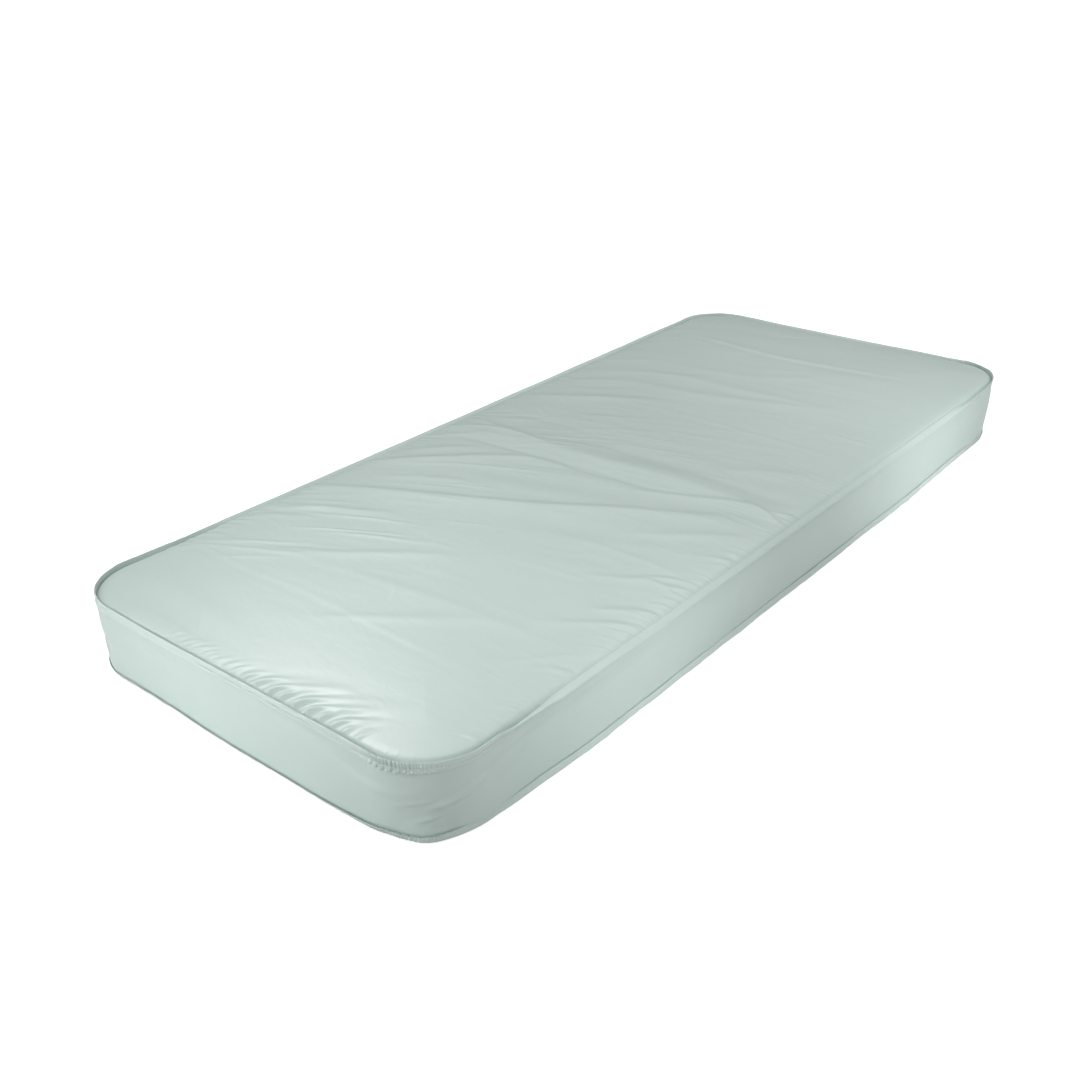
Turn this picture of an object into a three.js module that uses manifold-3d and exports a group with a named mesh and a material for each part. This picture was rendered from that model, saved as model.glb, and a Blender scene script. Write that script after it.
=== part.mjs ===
// Pressure relief mattress for a hospital bed, in millimetres, +Z up.
// The origin is the centre of the underside. +X runs to the head end and +Y to the side with the zip.
//
// Three groups: a coated cover (top panel, base panel, side border, edge tapes and stitching, label),
// the zip in one long side, and a fire barrier sock round a glued core of base slab, two bolsters,
// four castellated zones and a viscoelastic topper.
import * as THREE from "three";
import { LoftGeometry } from "three/addons/geometries/LoftGeometry.js";
import { mergeGeometries, mergeVertices } from "three/addons/utils/BufferGeometryUtils.js";
import Module from "manifold-3d";

const wasm = await Module();
wasm.setup();

// ---------- driving dimensions ----------
// An "inset" is a distance in from the plan outline. A pair is a [low, high] range.
const LENGTH = 2134; // over the edge tapes
const WIDTH = 914; // over the edge tapes
const HALF_LENGTH = LENGTH / 2;
const HALF_WIDTH = WIDTH / 2;
const CORNER_R = 122; // plan radius of the corners
const MIN_CORNER_R = 6; // least radius of an inset outline
const CORNER_STEPS = 6; // facets in each corner

// Cover
const SHEET = 0.8; // coated cover fabric
const TAPE = 0.8; // binding tape
const TAPE_DEPTH = 4; // thickness of the folded tape over both raw edges
const TOP_TAPE = [143, 153];
const BASE_TAPE = [0.5, 10.5];
const STITCH_UP = 2.2; // stitching, in from the open edge of its tape
const BORDER = [2.0, 150.6]; // both raw edges are inside the tapes
const BORDER_INSET = 1.0; // border's outer face
const PANEL_INSET = 2.1; // outer face of the panels' turned edges
const TOP_PANEL_EDGE = 151; // height of the top panel's raw edge
const BASE_PANEL_EDGE = 2.0; // height of the base panel's raw edge

// Zip
const ZIP_Z = 60; // height of the centre line
const ZIP_OPEN = 11; // half height of the opening between the zip panels
const ZIP_HALF = 880; // half length of the zip panels
const CHAIN_HALF = 856; // half length of the chain
const SLIDER_X = 845; // centre of the slider with the zip closed

// Sock and foam core
const SOCK_INSET = 5.0;
const SOCK = 1.0; // sock thickness
const EASE = 0.4; // clearance on either side of the sock
const CORE_INSET = SOCK_INSET + SOCK + EASE;
const BASE_TOP = 53; // top of the base slab
const CORE_TOP = 118; // top of the zones and bolsters
const GLUE = 0.3; // glue line
const BOLSTER_Y = 355; // inner face of the side bolsters
const ZONE_X = [-1100, -700, -200, 480, 1100]; // zone boundaries, from the foot to the head
const ZONES = [
  { name: "heel", cell: 88, depth: 34 },
  { name: "leg", cell: 140, depth: 26 },
  { name: "torso", cell: 98, depth: 34 },
  { name: "head", cell: 118, depth: 22 },
]; // cell size and depth of the castellation cuts
const CUT = 6; // width of a castellation cut

// Ranges that reach past the whole mattress, for cutting boxes.
const across = (half) => [-half, half];
const PAST_Y = 800;
const ALL_X = across(2000);
const ALL_Y = across(PAST_Y);
const ALL_Z = [-10, 400];

// Underside of the top panel as [inset, z]: it rises from the seam, pillows, then crowns.
const TOP = [
  [4.4, 141.8],
  [12, 146.0],
  [30, 150.0],
  [80, 152.8],
  [160, 154.9],
  [270, 156.5],
  [400, 157.2],
];
// Upper side of the base panel as [inset, z]: it rises to the seam at the edge, flat elsewhere.
const BASE = [
  [4.4, 11.6],
  [10, 6.4],
  [20, 2.4],
  [40, SHEET],
  [400, SHEET],
];

// ---------- materials ----------
const standard = (look) => new THREE.MeshStandardMaterial(look);
const COVER = standard({ color: 0xcfddd6, roughness: 0.42 });
const BINDING = standard({ color: 0xc3d2cb, roughness: 0.45 });
const THREAD = standard({ color: 0xe9e6da, roughness: 0.8 });
const SOCK_KNIT = standard({ color: 0xf1f0ea, roughness: 0.95 });
const FIRM = standard({ color: 0xd9d3a8, roughness: 0.95 });
const SOFT = standard({ color: 0xe6e2d2, roughness: 0.95 });
const VISCO = standard({ color: 0xe9d9a6, roughness: 0.95 });
const ZIP_FABRIC = standard({ color: 0xb7c6c0, roughness: 0.9 });
const NYLON = standard({ color: 0xc4d0cb, roughness: 0.4 });
const METAL = standard({ color: 0xb9bcbe, roughness: 0.3, metalness: 1 });
const LABEL = standard({ color: 0xf6f6f3, roughness: 0.9 });

// ---------- solids ----------
// A three.js geometry as a manifold-3d solid, turned to face outwards.
function solid(geometry) {
  const bare = new THREE.BufferGeometry();
  bare.setAttribute("position", geometry.attributes.position);
  bare.setIndex(geometry.index);
  const merged = mergeVertices(bare, 1e-4);
  const index = merged.index.array;
  const points = merged.attributes.position.array;

  const triangles = [];
  for (let i = 0; i < index.length; i += 3) {
    const [a, b, c] = [index[i], index[i + 1], index[i + 2]];
    if (a !== b && b !== c && a !== c) triangles.push(a, b, c);
  }

  // Six times the signed volume is negative when the faces point inwards.
  const corners = [new THREE.Vector3(), new THREE.Vector3(), new THREE.Vector3()];
  const [p, q, r] = corners;
  let volume = 0;
  for (let i = 0; i < triangles.length; i += 3) {
    corners.forEach((corner, k) => corner.fromArray(points, triangles[i + k] * 3));
    volume += p.dot(q.cross(r));
  }
  if (volume < 0)
    for (let i = 0; i < triangles.length; i += 3)
      [triangles[i + 1], triangles[i + 2]] = [triangles[i + 2], triangles[i + 1]];

  return new wasm.Manifold(
    new wasm.Mesh({
      numProp: 3,
      vertProperties: new Float32Array(points),
      triVerts: new Uint32Array(triangles),
    }),
  );
}

function box([x0, x1], [y0, y1], [z0, z1]) {
  const geometry = new THREE.BoxGeometry(x1 - x0, y1 - y0, z1 - z0);
  return solid(geometry.translate((x0 + x1) / 2, (y0 + y1) / 2, (z0 + z1) / 2));
}

// Adds a solid to a group as a named mesh.
function part(name, shape, material, group) {
  const { vertProperties, triVerts } = shape.getMesh();
  const geometry = new THREE.BufferGeometry();
  geometry.setAttribute("position", new THREE.Float32BufferAttribute(vertProperties, 3));
  geometry.setIndex(new THREE.Uint32BufferAttribute(triVerts, 1));
  geometry.computeVertexNormals();
  const mesh = new THREE.Mesh(geometry, material);
  mesh.name = name;
  group.add(mesh);
}

// The plan outline drawn in by `inset`, at height z, as a closed row of points.
function outline([inset, z]) {
  const radius = Math.max(CORNER_R - inset, MIN_CORNER_R);
  const x = HALF_LENGTH - inset - radius;
  const y = HALF_WIDTH - inset - radius;
  const corners = [
    [x, y, 0],
    [-x, y, 90],
    [-x, -y, 180],
    [x, -y, 270],
  ]; // centre x, centre y, start angle
  const row = [];
  for (const [centreX, centreY, start] of corners)
    for (let k = 0; k <= CORNER_STEPS; k++) {
      const angle = ((start + (90 * k) / CORNER_STEPS) * Math.PI) / 180;
      row.push(
        new THREE.Vector3(
          centreX + radius * Math.cos(angle),
          centreY + radius * Math.sin(angle),
          z,
        ),
      );
    }
  return row;
}

// The flat face that closes a loft at one of its rows.
function lid(row, facesUp) {
  const flat = row.map((point) => new THREE.Vector2(point.x, point.y));
  const index = [];
  for (const [a, b, c] of THREE.ShapeUtils.triangulateShape(flat, [])) {
    const isUp = THREE.ShapeUtils.area([flat[a], flat[b], flat[c]]) > 0;
    index.push(...(isUp === facesUp ? [a, b, c] : [a, c, b]));
  }
  const geometry = new THREE.BufferGeometry().setFromPoints(row);
  geometry.setIndex(index);
  return geometry;
}

// A solid over the whole plan. `profile` is its section as [inset, z], from the middle of
// one face round the edge to the middle of the other.
function sheet(profile) {
  const rows = profile.map(outline);
  const side = new LoftGeometry(rows);
  // The lids carry positions only, and merging needs matching attributes.
  side.deleteAttribute("normal");
  side.deleteAttribute("uv");
  return solid(mergeGeometries([side, lid(rows[0], false), lid(rows.at(-1), true)]));
}

// A ring round the whole outline with a closed section of [inset, z].
const ring = (profile) => solid(new LoftGeometry([...profile, profile[0]].map(outline)));

const lift = (rows, rise) => rows.map(([inset, z]) => [inset, z + rise]);
const polygon = (points) => points.map(([x, y]) => new THREE.Vector2(x, y));
const extrude = (shape, depth) =>
  new THREE.ExtrudeGeometry(shape, { depth, bevelEnabled: false });

// A shape drawn in X and Z, extruded over a range of Y.
function extrudeAlongY(shape, [y0, y1]) {
  const geometry = extrude(shape, y1 - y0);
  geometry.rotateX(Math.PI / 2);
  geometry.translate(0, y1, 0);
  return solid(geometry);
}

// ---------- cover ----------
const BORDER_OUTER_Y = HALF_WIDTH - BORDER_INSET;
const BORDER_Y = [BORDER_OUTER_Y - SHEET, BORDER_OUTER_Y];

// A panel between two faces, joined by an upright turned edge that ends at `edgeZ`.
// The two insets place the turned edge's faces that continue the upper and lower faces.
function panel(upper, lower, edgeZ, [upperInset, lowerInset]) {
  return sheet([
    ...upper.toReversed(),
    [upperInset, upper[0][1]],
    [upperInset, edgeZ],
    [lowerInset, edgeZ],
    [lowerInset, lower[0][1]],
    ...lower,
  ]);
}

function addPanels(group) {
  const outer = PANEL_INSET;
  const inner = PANEL_INSET + SHEET;
  const top = panel(lift(TOP, SHEET), TOP, TOP_PANEL_EDGE, [inner, outer]);
  const base = panel(BASE, lift(BASE, -SHEET), BASE_PANEL_EDGE, [outer, inner]);
  part("top_panel", top, COVER, group);
  part("base_panel", base, COVER, group);
}

// A tape folded in a U over two raw edges, from its open edge to its fold.
function foldedTape(open, fold) {
  const foldInside = fold - Math.sign(fold - open) * TAPE;
  return ring([
    [0, open],
    [0, fold],
    [TAPE_DEPTH, fold],
    [TAPE_DEPTH, open],
    [TAPE_DEPTH - TAPE, open],
    [TAPE_DEPTH - TAPE, foldInside],
    [TAPE, foldInside],
    [TAPE, open],
  ]);
}

// A thread round the outside of a tape.
const stitching = (z) =>
  ring([
    [-0.2, z - 0.35],
    [-0.2, z + 0.35],
    [-0.6, z + 0.5],
    [-0.9, z],
    [-0.6, z - 0.5],
  ]);

// The upper tape opens downwards and the lower one upwards.
function addTapes(group) {
  const [topOpen, topFold] = TOP_TAPE;
  const [baseFold, baseOpen] = BASE_TAPE;
  part("top_edge_tape", foldedTape(topOpen, topFold), BINDING, group);
  part("base_edge_tape", foldedTape(baseOpen, baseFold), BINDING, group);
  part("top_tape_stitching", stitching(topOpen + STITCH_UP), THREAD, group);
  part("base_tape_stitching", stitching(baseOpen - STITCH_UP), THREAD, group);
}

// One strip from the zip's foot end, round the foot, the plain side and the head,
// to the zip's head end.
function addBorder(group) {
  const [bottom, top] = BORDER;
  const endGap = 0.3; // between the strip and the zip panels
  const strip = ring([
    [BORDER_INSET, bottom],
    [BORDER_INSET, top],
    [BORDER_INSET + SHEET, top],
    [BORDER_INSET + SHEET, bottom],
  ]).subtract(box(across(ZIP_HALF + endGap), [300, PAST_Y], ALL_Z));
  part("side_border", strip, COVER, group);

  for (const [name, z] of [
    ["upper", [ZIP_Z + ZIP_OPEN, top]],
    ["lower", [bottom, ZIP_Z - ZIP_OPEN]],
  ])
    part("zip_panel_" + name, box(across(ZIP_HALF), BORDER_Y, z), COVER, group);
}

function addLabel(group) {
  const y = [BORDER_OUTER_Y + 0.2, BORDER_OUTER_Y + 0.6];
  const z = [92, TOP_TAPE[0] - 0.3];
  part("care_label", box([-762, -692], y, z), LABEL, group);
}

function buildCover() {
  const group = new THREE.Group();
  addPanels(group);
  addTapes(group);
  addBorder(group);
  addLabel(group);
  return group;
}

// ---------- zip ----------
const ZIP_TAPE_Y = [HALF_WIDTH - 2.7, HALF_WIDTH - 2.1]; // behind the panels
const COIL_Y = [HALF_WIDTH - 1.9, HALF_WIDTH + 0.3]; // on the outer face of the tapes
const COIL_CHAMFER = 0.8;
const ZIP_TAPE_REACH = [1.6, 21]; // tape, away from the centre line
const COIL_REACH = [0.8, 4.8]; // coil, away from the centre line
const STOP_GAP = 0.3; // from the end of the chain to a stop

// A flat-backed bead with a six-sided section, along X.
function coil([z0, z1]) {
  const [y0, y1] = COIL_Y;
  const section = new THREE.Shape(
    polygon([
      [z0, y0],
      [z1, y0],
      [z1, y1 - COIL_CHAMFER],
      [z1 - COIL_CHAMFER, y1],
      [z0 + COIL_CHAMFER, y1],
      [z0, y1 - COIL_CHAMFER],
    ]),
  );
  const bead = extrude(section, 2 * CHAIN_HALF);
  // Section x goes to Z, section y to Y, and the extrusion to X.
  const turn = new THREE.Matrix4().set(
    0, 0, 1, -CHAIN_HALF,
    0, 1, 0, 0,
    1, 0, 0, 0,
    0, 0, 0, 1,
  );
  return solid(bead.applyMatrix4(turn));
}

// Tape, coil and top stop above (side 1) or below (side -1) the centre line.
function addZipSide(name, side, group) {
  const range = ([near, far]) =>
    side > 0 ? [ZIP_Z + near, ZIP_Z + far] : [ZIP_Z - far, ZIP_Z - near];
  const coilZ = range(COIL_REACH);
  const stopX = [CHAIN_HALF + STOP_GAP, CHAIN_HALF + 3.3];
  const stopY = [COIL_Y[0] + 0.1, COIL_Y[1]];
  const tape = box(across(ZIP_HALF - 2), ZIP_TAPE_Y, range(ZIP_TAPE_REACH));
  part("zip_tape_" + name, tape, ZIP_FABRIC, group);
  part("zip_coil_" + name, coil(coilZ), NYLON, group);
  part("zip_top_stop_" + name, box(stopX, stopY, coilZ), METAL, group);
}

function addBottomStop(group) {
  const x = [-CHAIN_HALF - 6, -CHAIN_HALF - STOP_GAP];
  const y = [COIL_Y[0] + 0.1, COIL_Y[1] + 0.5];
  part("zip_bottom_stop", box(x, y, [ZIP_Z - 5.5, ZIP_Z + 5.5]), METAL, group);
}

function addEndPatches(group) {
  const y = [BORDER_OUTER_Y + 0.3, BORDER_OUTER_Y + 1.1];
  const z = [ZIP_Z - 23, ZIP_Z + 23];
  for (const [name, x] of [
    ["head", [864, 902]],
    ["foot", [-902, -864]],
  ])
    part("zip_end_patch_" + name, box(x, y, z), COVER, group);
}

// The slider is drawn about its own centre, with y = 0 on the mattress outline.
// Lower edge of a slider plate seen from outside, as [x, z over the half height]:
// narrow at the tail and broad at the shoulders.
const PLATE_EDGE = [
  [-9.5, -0.72],
  [-2, -0.78],
  [4, -1],
  [8, -1],
  [9.5, -0.75],
];
const OUTER_PLATE_HALF = 7.2;
const INNER_PLATE_HALF = 6.2;

function sliderPlate(y, half) {
  const lower = PLATE_EDGE.map(([x, share]) => [x, half * share]);
  const upper = lower.toReversed().map(([x, z]) => [x, -z]);
  return extrudeAlongY(new THREE.Shape(polygon([...lower, ...upper])), y);
}

// A side rail, trimmed to the outline of the outer plate.
const sliderRail = (z) =>
  box([-8.5, 8], [-1.8, 0.8], z).intersect(sliderPlate([-2, 1], OUTER_PLATE_HALF));

function sliderBody() {
  const wedgePost = box([4.6, 7.6], [-3.2, 0.8], across(0.5)); // between the two coils
  const bail = box(across(4.6), [2.0, 5.6], across(1)).subtract(
    box(across(3.2), [1.9, 4.4], across(2)),
  ); // holds the pull tab's bar
  return sliderPlate([0.6, 2.2], OUTER_PLATE_HALF)
    .add(sliderPlate([-4.3, -3.0], INNER_PLATE_HALF))
    .add(wedgePost)
    .add(sliderRail([5.1, 5.9]))
    .add(sliderRail([-5.9, -5.1]))
    .add(bail);
}

// Pull tab: a plate with an eye, whose end bar lies in the bail and is the hinge.
// It lies flat along -X. Outlines are [x, z] from the hinge.
const TAB_LENGTH = 34;
const TAB_Y = 3.3; // hinge axis
const TAB_THICKNESS = 1.4;
const TAB_OUTLINE = [
  [0.7, -4.2], [0.7, 4.2], [-8, 4.2], [-12, 3.2],
  [-TAB_LENGTH + 6, 4.6], [-TAB_LENGTH + 1.5, 4.0], [-TAB_LENGTH, 2.2],
  [-TAB_LENGTH, -2.2], [-TAB_LENGTH + 1.5, -4.0], [-TAB_LENGTH + 6, -4.6],
  [-12, -3.2], [-8, -4.2],
];
const TAB_EYE = [[-0.7, -2.6], [-6.2, -2.6], [-6.2, 2.6], [-0.7, 2.6]];
const TAB_GRIP_HOLE = [
  [-TAB_LENGTH + 4, -2], [-TAB_LENGTH + 12, -1.4],
  [-TAB_LENGTH + 12, 1.4], [-TAB_LENGTH + 4, 2],
];

function pullTab() {
  const shape = new THREE.Shape(polygon(TAB_OUTLINE));
  for (const hole of [TAB_EYE, TAB_GRIP_HOLE])
    shape.holes.push(new THREE.Path(polygon(hole)));
  return extrudeAlongY(shape, [TAB_Y - TAB_THICKNESS / 2, TAB_Y + TAB_THICKNESS / 2]);
}

function buildSlider() {
  const group = new THREE.Group();
  group.position.set(SLIDER_X, HALF_WIDTH, ZIP_Z);
  part("zip_slider_body", sliderBody(), METAL, group);
  part("zip_pull_tab", pullTab(), METAL, group);
  return group;
}

function buildZip() {
  const group = new THREE.Group();
  addZipSide("upper", 1, group);
  addZipSide("lower", -1, group);
  addBottomStop(group);
  addEndPatches(group);
  group.add(buildSlider());
  return group;
}

// ---------- fire barrier sock and foam core ----------
const FILLING_EDGE = [12.6, 140]; // upright edge of the space inside the cover

// The space inside the cover, `gap` clear of both panels and `inset` in from the outline.
function filling(inset, gap) {
  const [bottom, top] = FILLING_EDGE;
  return sheet([
    ...lift(TOP.slice(1), -gap).reverse(),
    [inset, top - gap],
    [inset, bottom + gap],
    ...lift(BASE.slice(1), gap),
  ]);
}

function addSock(group) {
  // The mouth the core goes in through, at the head end.
  const mouth = box([HALF_LENGTH - 14, HALF_LENGTH + 50], across(330), [18, 128]);
  const sock = filling(SOCK_INSET, EASE)
    .subtract(filling(SOCK_INSET + SOCK, EASE + SOCK))
    .subtract(mouth);
  part("fire_barrier_sock", sock, SOCK_KNIT, group);
}

function addBolsters(layer, group) {
  for (const [name, y] of [
    ["zip_side", [BOLSTER_Y, PAST_Y]],
    ["plain_side", [-PAST_Y, -BOLSTER_Y]],
  ])
    part("bolster_" + name, layer.intersect(box(ALL_X, y, ALL_Z)), FIRM, group);
}

// Ranges of the cuts that divide low to high into equal cells of about `cell`.
function cutRanges(low, high, cell) {
  const count = Math.max(2, Math.round((high - low) / cell));
  const ranges = [];
  for (let k = 1; k < count; k++) {
    const centre = low + ((high - low) * k) / count;
    ranges.push([centre - CUT / 2, centre + CUT / 2]);
  }
  return ranges;
}

// Cuts a grid of slots into the top of a zone.
function castellate(block, cell, depth) {
  const { min, max } = block.boundingBox();
  const z = [CORE_TOP - depth, ALL_Z[1]];
  let zone = block;
  for (const x of cutRanges(min[0], max[0], cell)) zone = zone.subtract(box(x, ALL_Y, z));
  for (const y of cutRanges(min[1], max[1], cell)) zone = zone.subtract(box(ALL_X, y, z));
  return zone;
}

function addZones(layer, group) {
  ZONES.forEach(({ name, cell, depth }, i) => {
    const x = [ZONE_X[i] + GLUE / 2, ZONE_X[i + 1] - GLUE / 2];
    const block = layer.intersect(box(x, across(BOLSTER_Y - GLUE), ALL_Z));
    part("zone_foam_" + name, castellate(block, cell, depth), SOFT, group);
  });
}

function buildCore() {
  const group = new THREE.Group();
  const foam = filling(CORE_INSET, EASE + SOCK + EASE);
  const slab = (z0, z1) => foam.intersect(box(ALL_X, ALL_Y, [z0, z1]));
  const middle = slab(BASE_TOP + GLUE, CORE_TOP);
  addSock(group);
  part("base_foam", slab(ALL_Z[0], BASE_TOP), FIRM, group);
  addBolsters(middle, group);
  addZones(middle, group);
  part("topper_foam", slab(CORE_TOP + GLUE, ALL_Z[1]), VISCO, group);
  return group;
}

const mattress = new THREE.Group();
mattress.add(buildCover(), buildZip(), buildCore());

export default mattress;
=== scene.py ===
"""A foam mattress in a coated mint cover with sewn edge tapes and a zip along one long side.

It lies flat on the floor at z = 0, centred on the origin. Its length runs along x, with the
head end at +x and the foot end at -x. The zip side is at +y and the plain side at -y.
All lengths are in metres unless a comment says otherwise.
"""
import math
import bpy
import numpy as np
from mathutils import Matrix, Vector


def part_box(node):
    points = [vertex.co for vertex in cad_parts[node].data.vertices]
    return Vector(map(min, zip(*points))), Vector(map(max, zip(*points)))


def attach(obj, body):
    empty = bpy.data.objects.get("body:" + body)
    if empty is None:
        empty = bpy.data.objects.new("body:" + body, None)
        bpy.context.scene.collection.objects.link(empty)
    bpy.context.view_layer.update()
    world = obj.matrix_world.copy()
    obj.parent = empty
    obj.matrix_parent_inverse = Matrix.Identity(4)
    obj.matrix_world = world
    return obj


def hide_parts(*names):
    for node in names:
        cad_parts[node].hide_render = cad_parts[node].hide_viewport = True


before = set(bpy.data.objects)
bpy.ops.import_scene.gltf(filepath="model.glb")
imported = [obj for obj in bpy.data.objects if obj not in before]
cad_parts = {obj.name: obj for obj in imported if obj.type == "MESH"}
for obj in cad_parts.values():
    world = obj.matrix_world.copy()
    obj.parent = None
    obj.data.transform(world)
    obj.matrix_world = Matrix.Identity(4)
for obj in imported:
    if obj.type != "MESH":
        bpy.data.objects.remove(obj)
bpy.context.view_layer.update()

SCENE = bpy.context.scene

# ---------------------------------------------------------------- driving sizes
tape_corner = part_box("top_edge_tape")[1]
HALF_LEN, HALF_WID = float(tape_corner.x), float(tape_corner.y)   # over the edge tapes
OUTLINE_R = 0.122                    # nominal plan radius of the corners
SEAM_R, BASE_R = 0.119, 0.142        # plan radius of the corners at the upper and lower seam
SEAM_Z, BASE_Z = 0.1425, 0.0122      # height of the upper and lower seam
ZIP_Z = 0.060                        # centre line of the zip
ZIP_HALF = float(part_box("zip_panel_upper")[1].x)
CHAIN_HALF = float(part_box("zip_coil_upper")[1].x)
OPEN_LO = float(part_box("zip_panel_lower")[1].z)
OPEN_HI = float(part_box("zip_panel_upper")[0].z)
ZIP_FACE_Y = HALF_WID - 0.0010       # flat face of the border beside the zip
COVER_T = 0.0007                     # thickness of the cover
LAYER = 0.0005                       # the two covers lie this far either side of a seam


# ---------------------------------------------------------------- small maths
def ease(x, low, high):
    """Smooth step from 0 at low to 1 at high."""
    part = np.clip((np.asarray(x, float) - low) / (high - low), 0, 1)
    return part * part * (3 - 2 * part)


def span(x, rise, full, fall, end):
    """0 before rise, 1 from full to fall, 0 again after end."""
    return ease(x, rise, full) * (1 - ease(x, fall, end))


def bell(x, centre, width):
    return np.exp(-(((np.asarray(x, float) - centre) / width) ** 2))


def cubic_weights(part):
    """Catmull-Rom weights of the four neighbours."""
    return [((-part + 2) * part - 1) * part / 2, ((3 * part - 5) * part * part + 2) / 2,
            ((-3 * part + 4) * part + 1) * part / 2, (part - 1) * part * part / 2]


def noise1(x, seed, scale):
    """Smooth 1-D noise in about -1..1 with features `scale` long."""
    table = np.random.RandomState(seed).uniform(-1, 1, 4096)
    x = np.asarray(x, float) / scale + 1000.0
    cell = np.floor(x).astype(int)
    weights = cubic_weights(x - cell)
    return sum(weights[k] * table[(cell + k - 1) % 4096] for k in range(4))


def noise2(x, y, seed):
    """Smooth 2-D noise in about -1..1 with unit features."""
    table = np.random.RandomState(seed).uniform(-1, 1, (256, 256))
    x = np.asarray(x, float) + 1000.0
    y = np.asarray(y, float) + 1000.0
    col, row = np.floor(x).astype(int), np.floor(y).astype(int)
    across, along = cubic_weights(x - col), cubic_weights(y - row)
    total = 0
    for i in range(4):
        for j in range(4):
            total = total + across[i] * along[j] * table[(col + i - 1) % 256, (row + j - 1) % 256]
    return total


def spline(points, steps=6):
    """Catmull-Rom curve through the points."""
    pts = np.array(points, float)
    pts = np.vstack([2 * pts[0] - pts[1], pts, 2 * pts[-1] - pts[-2]])
    curve = []
    for i in range(1, len(pts) - 2):
        for part in np.arange(steps) / steps:
            curve.append(np.array(cubic_weights(part)) @ pts[i - 1:i + 3])
    curve.append(pts[-2])
    return np.array(curve)


def nearest(x, y, line):
    """Distance to a polyline, x offset from it, distance along it, and its length."""
    best = np.full(len(x), 1e9)
    offset_x, along = np.zeros(len(x)), np.zeros(len(x))
    step = np.diff(line, axis=0)
    length = np.hypot(step[:, 0], step[:, 1])
    travelled = np.concatenate([[0], np.cumsum(length)])
    for i, (step_x, step_y) in enumerate(step):
        gap_x, gap_y = x - line[i, 0], y - line[i, 1]
        part = np.clip((gap_x * step_x + gap_y * step_y) / length[i] ** 2, 0, 1)
        gap_x, gap_y = gap_x - part * step_x, gap_y - part * step_y
        dist = np.hypot(gap_x, gap_y)
        closer = dist < best
        best[closer] = dist[closer]
        offset_x[closer] = gap_x[closer]
        along[closer] = travelled[i] + part[closer] * length[i]
    return best, offset_x, along, travelled[-1]


# ---------------------------------------------------------------- the outline and its stations
# `pos` is the distance round the outline, 0 to PERIM, anticlockwise seen from above. It starts
# on the head end beside the plain side. Eight segments alternate straight side and corner;
# `share` runs 0 to 1 along one.
ARC = math.pi / 2 * OUTLINE_R
SEG_LEN = np.tile([2 * (HALF_WID - OUTLINE_R), ARC, 2 * (HALF_LEN - OUTLINE_R), ARC], 2)
SEG_START = np.concatenate([[0], np.cumsum(SEG_LEN)])
PERIM = float(SEG_START[-1])
HEAD, HEAD_ZIP, ZIP, FOOT_ZIP, FOOT, FOOT_PLAIN, PLAIN, PLAIN_HEAD = SEG_START[:8]
# quadrant signs of the corner centre at the start of each segment, and back to the first
SIGN_X = np.array([1, 1, 1, -1, -1, -1, -1, 1, 1])
SIGN_Y = np.array([-1, 1, 1, 1, 1, -1, -1, -1, -1])


def stations(counts):
    """Stations round the outline from (steps per long side, per end, per corner)."""
    n_long, n_end, n_arc = counts
    steps = [n_end, n_arc, n_long, n_arc] * 2
    seg = np.repeat(np.arange(8), steps)
    share = np.concatenate([np.arange(n) / n for n in steps])
    return seg, share, SEG_START[seg] + share * SEG_LEN[seg]


def locate(pos):
    """Segment and share at a distance round the outline."""
    seg = np.clip(np.searchsorted(SEG_START, pos, side="right") - 1, 0, 7)
    return seg, (pos - SEG_START[seg]) / SEG_LEN[seg]


def normal_angle(seg, share):
    """Plan angle of the outward normal."""
    return (seg // 2 + share * (seg % 2)) * math.pi / 2


def place(seg, share, inset, radius):
    """Point on the outline drawn in by inset; inset and radius broadcast to (..., n)."""
    half_len, half_wid = HALF_LEN - inset, HALF_WID - inset
    turn = np.maximum(np.asarray(radius, float) - inset, 0.0015)
    turn = np.minimum(turn, half_wid - 1e-4)
    sign_x = SIGN_X[seg] + (SIGN_X[seg + 1] - SIGN_X[seg]) * share
    sign_y = SIGN_Y[seg] + (SIGN_Y[seg + 1] - SIGN_Y[seg]) * share
    angle = normal_angle(seg, share)
    x = sign_x * (half_len - turn) + turn * np.cos(angle)
    y = sign_y * (half_wid - turn) + turn * np.sin(angle)
    return x, y


def way_round(delta):
    """Signed distance the shorter way round the outline."""
    return (delta + PERIM / 2) % PERIM - PERIM / 2


def corner(pos, start, fade=0.10):
    """1 within the corner that begins at start, fading to 0 over `fade` beyond it."""
    dist = np.abs(way_round(pos - (start + ARC / 2)))
    return 1 - ease(dist, ARC / 2 - 0.01, ARC / 2 + fade)


def wrap_blend(pos, knots):
    """Smooth value round the outline from (segment start, distance past it, value) knots."""
    table = np.array(knots, float)
    keys, values = table[:, 0] + table[:, 1], table[:, 2]
    order = np.argsort(keys)
    keys, values = keys[order], values[order]
    keys = np.concatenate([[keys[-1] - PERIM], keys, [keys[0] + PERIM]])
    values = np.concatenate([[values[-1]], values, [values[0]]])
    i = np.clip(np.searchsorted(keys, pos, side="right") - 1, 0, len(keys) - 2)
    part = ease((pos - keys[i]) / (keys[i + 1] - keys[i]), 0, 1)
    return values[i] * (1 - part) + values[i + 1] * part


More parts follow.
